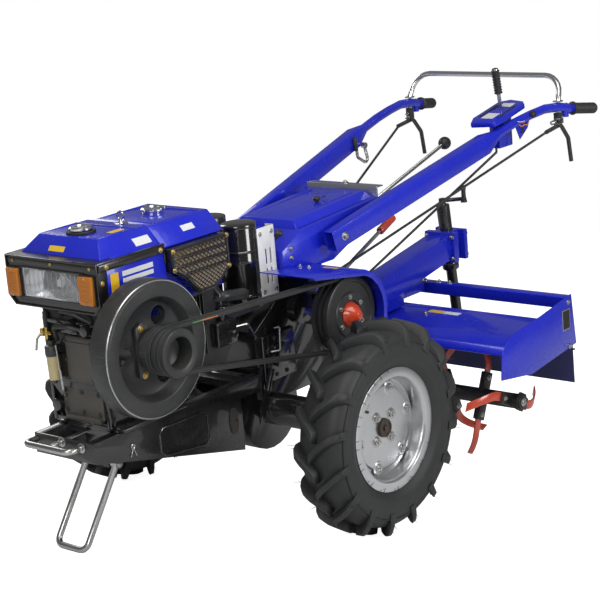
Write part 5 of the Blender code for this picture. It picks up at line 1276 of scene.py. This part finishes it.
# %% Clevises, mount tubes and arm bolts
clevis = [block((0.313, 1.392, 0.65), (0.329, 1.43, 0.654), 0.001),
          block((0.313, 1.392, 0.666), (0.329, 1.43, 0.67), 0.001),
          block((0.313, 1.424, 0.65), (0.329, 1.43, 0.67), 0.001),
          bolt((0.321, 1.405, 0.67), (0, 0, 1), 0.0065, 0.005),
          bar((0.308, 1.38, 0.656), (0.316, 1.398, 0.66), 0.0075, 16, 0.001)]
tube = [bar((0.322, 1.423, 0.668), (0.323, 1.425, 0.703), 0.0125, 24, 0.002)]
arm_bolts = [bolt((0.2152, 0.2837, 0.4841), (0.994, -0.11, 0), 0.01, 0.009),
             bolt((0.3235, 1.43, 0.709), (0.98, -0.2, 0.0), 0.006, 0.0045)]
for name, surface, items in (("clevis", "bright_steel", clevis), ("lever_mount", "blue_paint", tube),
        ("arm_bolts", "bright_steel", arm_bolts)):
    item = merged(*items)
    if name == "clevis":
        item = moved(item, Matrix.Translation((0.0, -0.03, 0.0)))
    twin = outwards(copied(item, MIRROR_X))
    add(f"{name}_left", surface, item)
    add(f"{name}_right", surface, twin)

# %% Clutch lever grip
grip_outline = [(0.0, 0.0), (0.0, 0.0085)]
for k in range(9):
    grip_outline += [(0.0015 + 0.0095 * k, 0.0115), (0.003 + 0.0095 * k, 0.0142),
        (0.006 + 0.0095 * k, 0.0142), (0.0075 + 0.0095 * k, 0.0115)]
grip_outline += [(0.088, 0.0085), (0.0905, 0.006), (0.091, 0.0)]
add("clutch_grip", "grip_plastic", spun(grip_outline, (0.236, 1.142, 0.79), (0, -0.165, 0.986), 28), angle=50)

# %% Gear lever ball
ball_outline = [(-0.0225 * cos(pi * k / 16), 0.0225 * sin(pi * k / 16)) for k in range(17)]
ball_outline[0], ball_outline[-1] = (-0.0225, 0.0), (0.0225, 0.0)
add("gear_ball", "grip_plastic", spun(ball_outline, (0.0, 1.142, 0.612), (0, 0.9, 0.4), 32), angle=60)

# %% Dash: slots, blank plate, bracket and wires
DASH_UP = (0, 0.98, 0.19)
slots = [placed(block((x - 0.0045, -0.062, -0.0005), (x + 0.0045, 0.05, 0.0007), 0.0003, 1),
    (0.236, 1.135, 0.7338), (1, 0, 0), DASH_UP) for x in (-0.036, 0.036)]
add("dash_slots", "gasket", *slots)
add("dash_plate", "blank_label", label((0.236, 1.085, 0.7243), (1, 0, 0), DASH_UP, 0.046, 0.05),
    label((0.236, 1.19, 0.7448), (1, 0, 0), DASH_UP, 0.046, 0.034))
bracket = plate([(1.13, 0.69), (1.232, 0.703), (1.21, 0.665), (1.16, 0.633)], 0.299, 0.302, "X", 0.0008)
add("wire_bracket", "blue_paint", bracket)
wires = [bent([(0.303, 1.15, 0.687), (0.309, 1.166, 0.671), (0.304, 1.182, 0.687), (0.311, 1.196, 0.671),
    (0.304, 1.212, 0.685), (0.3, 1.225, 0.695)], 0.0019, 8, True),
         bent([(0.303, 1.16, 0.695), (0.312, 1.175, 0.681), (0.304, 1.192, 0.697), (0.309, 1.21, 0.695)],
             0.0017, 8, True)]
add("orange_wires", "cable_orange", *wires)
add("white_wire", "blank_label", bent([(0.304, 1.145, 0.697), (0.313, 1.17, 0.687), (0.306, 1.202, 0.703),
    (0.304, 1.22, 0.699)], 0.0016, 8, True))
switch = spun([(0.0, 0.0), (0.0, 0.007), (0.01, 0.008), (0.014, 0.0125), (0.022, 0.0125), (0.025, 0.01),
    (0.025, 0.0)], (0.302, 1.218, 0.709), (1, 0.2, 0.1), 24)
add("switch_knob", "grip_plastic", switch, bar((0.296, 1.175, 0.66), (0.306, 1.175, 0.66), 0.009, 20, 0.002))
add("tension_grip", "grip_plastic", bar((-0.247, 0.952, 0.608), (-0.247, 0.947, 0.656), 0.0085, 20, 0.003))
add("drive_lever_grip", "orange_paint", bar((0.104, 0.6, 0.42), (0.104, 0.679, 0.4525), 0.0135, 24, 0.005))

# %% [markdown]
# ## Tiller
# The rotor is a black shaft with a clamp for every blade. A blade is a grid
# made thick, then curved: it leaves the shaft straight and its tip hooks
# sideways, which is what slices and throws the soil.

# %% Rotor shaft and clamps
ROTOR_AXIS = Vector((0.0, ROTOR_Y, ROTOR_Z))
BLADE_ROOT, BLADE_REACH = 0.034, 0.159      # where a blade starts and how far it goes, metres
BLADE_THICK, BLADE_WIDE, BLADE_LEAD = 0.0075, 0.03, 0.015
THINNING = 0.35                             # share of its thickness a blade loses towards the tip
HOOK_START = 0.4                           # share of its length at which a blade starts to turn
HOOK_OUT, HOOK_BACK, HOOK_TILT = 0.046, 0.058, radians(62)
# distance from the middle, angle in degrees, side its tip turns to
HOLDERS = [(0.128, 20, 1), (0.245, 110, 1), (0.372, 65, -1), (0.488, 155, -1)]


def rotor_blade(x, degrees, bend):
    """One hooked blade. bend is +1 when its tip turns towards +X."""
    item = thick_grid(12)
    angle = radians(degrees)
    out, turn = outward(angle), sideways(angle)
    across = Vector((1, 0, 0))
    for vert in item.data.vertices:
        part, side, layer = vert.co.x + 0.5, vert.co.y + 0.5, vert.co.z - 0.5
        hook = max(0.0, (part - HOOK_START) / (1 - HOOK_START))
        middle = ROTOR_AXIS + across * (x + bend * HOOK_OUT * hook ** 2.2)
        middle += out * (BLADE_ROOT + BLADE_REACH * part) + turn * (HOOK_BACK * hook ** 1.6 - BLADE_LEAD)
        tilt = HOOK_TILT * hook ** 1.3
        thick = across * cos(tilt) - out * sin(tilt) * bend
        vert.co = middle + thick * layer * BLADE_THICK * (1 - THINNING * part) + turn * side * BLADE_WIDE
    return bevelled(outwards(item), 0.0012, 2, 50)


def blade_clamp(x, degrees):
    """The block that holds a blade's root, and its two bolts."""
    angle = radians(degrees)
    turn = (0, -sin(angle), cos(angle))
    box = placed(block((-0.0105, -0.02, -0.08), (0.0105, 0.02, -0.016), 0.0025),
        ROTOR_AXIS + Vector((x, 0, 0)), (1, 0, 0), turn)
    out = outward(angle)
    at = ROTOR_AXIS + Vector((x, 0, 0)) + out * 0.062
    return box, merged(bolt(at + Vector((0.0105, 0, 0)), (1, 0, 0), 0.0068, 0.0055),
        bolt(at - Vector((0.0105, 0, 0)), (-1, 0, 0), 0.0068, 0.0055))


blades, clamps, heads = [], [], []
for side in (1, -1):
    for x, degrees, bend in HOLDERS:
        for turn in (0, 180):
            angle = degrees + turn + (0 if side > 0 else 45)
            blades.append(rotor_blade(side * x, angle, side * bend))
            box, pair = blade_clamp(side * x, angle)
            clamps.append(box)
            heads.append(pair)
shaft = bar(ROTOR_AXIS + Vector((-0.53, 0, 0)), ROTOR_AXIS + Vector((0.53, 0, 0)), 0.025, 40, 0.002)
flanges = [bar(ROTOR_AXIS + Vector((x - 0.004, 0, 0)), ROTOR_AXIS + Vector((x + 0.004, 0, 0)), 0.034, 6,
    0.001) for x in (-0.52, -0.105, 0.105, 0.52)]
add("rotor_blades", "orange_paint", *blades, body="rotor", replaces=("tiller_rotor",))
add("rotor_shaft", "shaft_black", shaft, *flanges, *clamps, body="rotor")
heads += [bolt(ROTOR_AXIS + Vector((side * 0.53, 0, 0)), (side, 0, 0), 0.01, 0.005) for side in (1, -1)]
add("rotor_bolts", "bright_steel", *heads, body="rotor")

# %% Clamp bolts, hood bolts, blank plates
heads = [bolt((x, 1.0738, z), (0, -1, 0), 0.007, 0.006) for x in (-0.053, 0.053) for z in (0.215, 0.291)]
heads += [bolt((x, 1.1585, z), (0, 1, 0), 0.007, 0.006) for x in (-0.053, 0.053) for z in (0.215, 0.291)]
heads += [bolt((x, 1.015, 0.1422), (0, 0, 1), 0.008, 0.0065) for x in (-0.075, -0.03, 0.03, 0.075)]
heads += [bolt((x, 0.76, 0.1062), (0, -0.08, 1), 0.0075, 0.006) for x in (-0.15, 0.15)]
heads += [bolt((side * 0.5502, 1.015, z), (side, 0, 0), 0.0065, 0.005) for side in (1, -1)
    for z in (0.123, -0.03)]
add("tiller_bolts", "bright_steel", *heads)
for name, surface, x in (("yellow", "label_yellow", 0.175), ("white", "blank_label", 0.238)):
    add(f"hood_label_{name}", surface, label((x, 0.79, 0.108), (1, 0, 0), (0, 1, 0.06), 0.06, 0.024))
add("plate_frame", "bright_steel", label((0.5501, 0.9977, 0.066), (0, 1, 0), (0, 0, 1), 0.048, 0.07, 0.0012))
add("plate_face", "gasket", label((0.5512, 0.9977, 0.066), (0, 1, 0), (0, 0, 1), 0.04, 0.062, 0.0006))
add("flap_hinge", "dark_iron", bar((-0.548, 1.0475, -0.05), (0.548, 1.0475, -0.05), 0.0035, 10))
collar = spun([(-0.014, 0.02), (-0.014, 0.0285), (-0.011, 0.03), (0.011, 0.03), (0.014, 0.0285),
    (0.014, 0.02), (-0.014, 0.02)], (0.0, 1.1325, 0.176), (0, -0.114, 0.993), 36)
add("post_collar", "black_gloss", collar)

# %% [markdown]
# ## Camera, floor and light
# A long lens from the front left, a little above. The floor and backdrop read
# as plain white behind the machine, and four soft panels light it.

# %% Camera
TARGET = Vector((0.0747, 0.1715 + AXLE.y, 0.6293))
AZIMUTH, RISE, DISTANCE = radians(39.77), radians(8.786), 5.3104
LENS_MM, SENSOR_MM = 102.0, 36.0
towards = Vector((cos(RISE) * sin(AZIMUTH), -cos(RISE) * cos(AZIMUTH), sin(RISE)))
bpy.ops.object.camera_add(location=TARGET + towards * DISTANCE)
camera = bpy.context.object
camera.rotation_euler = (-towards).to_track_quat("-Z", "Y").to_euler()
camera.data.lens = LENS_MM
camera.data.sensor_width = SENSOR_MM
bpy.context.scene.camera = camera

# %% White world that lights softly
LIGHT = 0.32               # what the white surroundings give as light
MIRRORED = 0.16            # how much darker they are in reflections
world = bpy.data.worlds.new("studio")
bpy.context.scene.world = world
world.use_nodes = True
world_tree = world.node_tree
background = world_tree.nodes["Background"]
path = world_tree.nodes.new("ShaderNodeLightPath")
seen = maths(world_tree, "MAXIMUM", path.outputs["Is Camera Ray"], path.outputs["Is Transmission Ray"])
mirrored = maths(world_tree, "MULTIPLY", path.outputs["Is Glossy Ray"], -MIRRORED)
whitened = maths(world_tree, "MULTIPLY", seen, 1.0 - LIGHT)
strength = maths(world_tree, "ADD", whitened, maths(world_tree, "ADD", mirrored, LIGHT))
world_tree.links.new(strength, background.inputs["Strength"])
background.inputs["Color"].default_value = (1.0, 1.0, 1.0, 1.0)

# %% Floor
FLOOR_SIZE, FLOOR_GREY, FLOOR_GLOW = 14.0, 0.72, 0.93
bpy.ops.object.select_all(action="DESELECT")
bpy.ops.mesh.primitive_plane_add(size=FLOOR_SIZE, location=(0, 0, 0))
floor = bpy.context.object
floor.name = "studio_floor"
floor_finish = bpy.data.materials.new("studio_floor")
floor_finish.use_nodes = True
floor_tree = floor_finish.node_tree
floor_shader = floor_tree.nodes["Principled BSDF"]
floor_shader.inputs["Base Color"].default_value = (FLOOR_GREY, FLOOR_GREY, FLOOR_GREY, 1.0)
floor_shader.inputs["Roughness"].default_value = 0.9
floor_shader.inputs["Specular IOR Level"].default_value = 0.1
floor_path = floor_tree.nodes.new("ShaderNodeLightPath")
glow = mix_colour(floor_tree, floor_path.outputs["Is Camera Ray"], (0.0, 0.0, 0.0),
    (FLOOR_GLOW, FLOOR_GLOW, FLOOR_GLOW))
floor_tree.links.new(glow, floor_shader.inputs["Emission Color"])
floor_shader.inputs["Emission Strength"].default_value = 1.0
floor.data.materials.append(floor_finish)

# %% Soft panels
# name, place, size in metres, power in watts
PANELS = [("overhead", (1.4, -1.4, 4.0), 2.4, 80.0), ("front_left", (1.6, -4.2, 2.0), 1.6, 55.0),
          ("rear_right", (-3.8, 0.8, 2.8), 1.8, 40.0), ("side_left", (4.2, 0.2, 1.9), 1.5, 75.0)]
for label, place, size, power in PANELS:
    bpy.ops.object.light_add(type="AREA", location=place)
    lamp = bpy.context.object
    lamp.name = f"panel_{label}"
    lamp.data.size = size
    lamp.data.energy = power
    lamp.rotation_euler = (Vector((0, 0, 0.5)) - Vector(place)).to_track_quat("-Z", "Y").to_euler()
bpy.context.scene.view_settings.view_transform = "Standard"
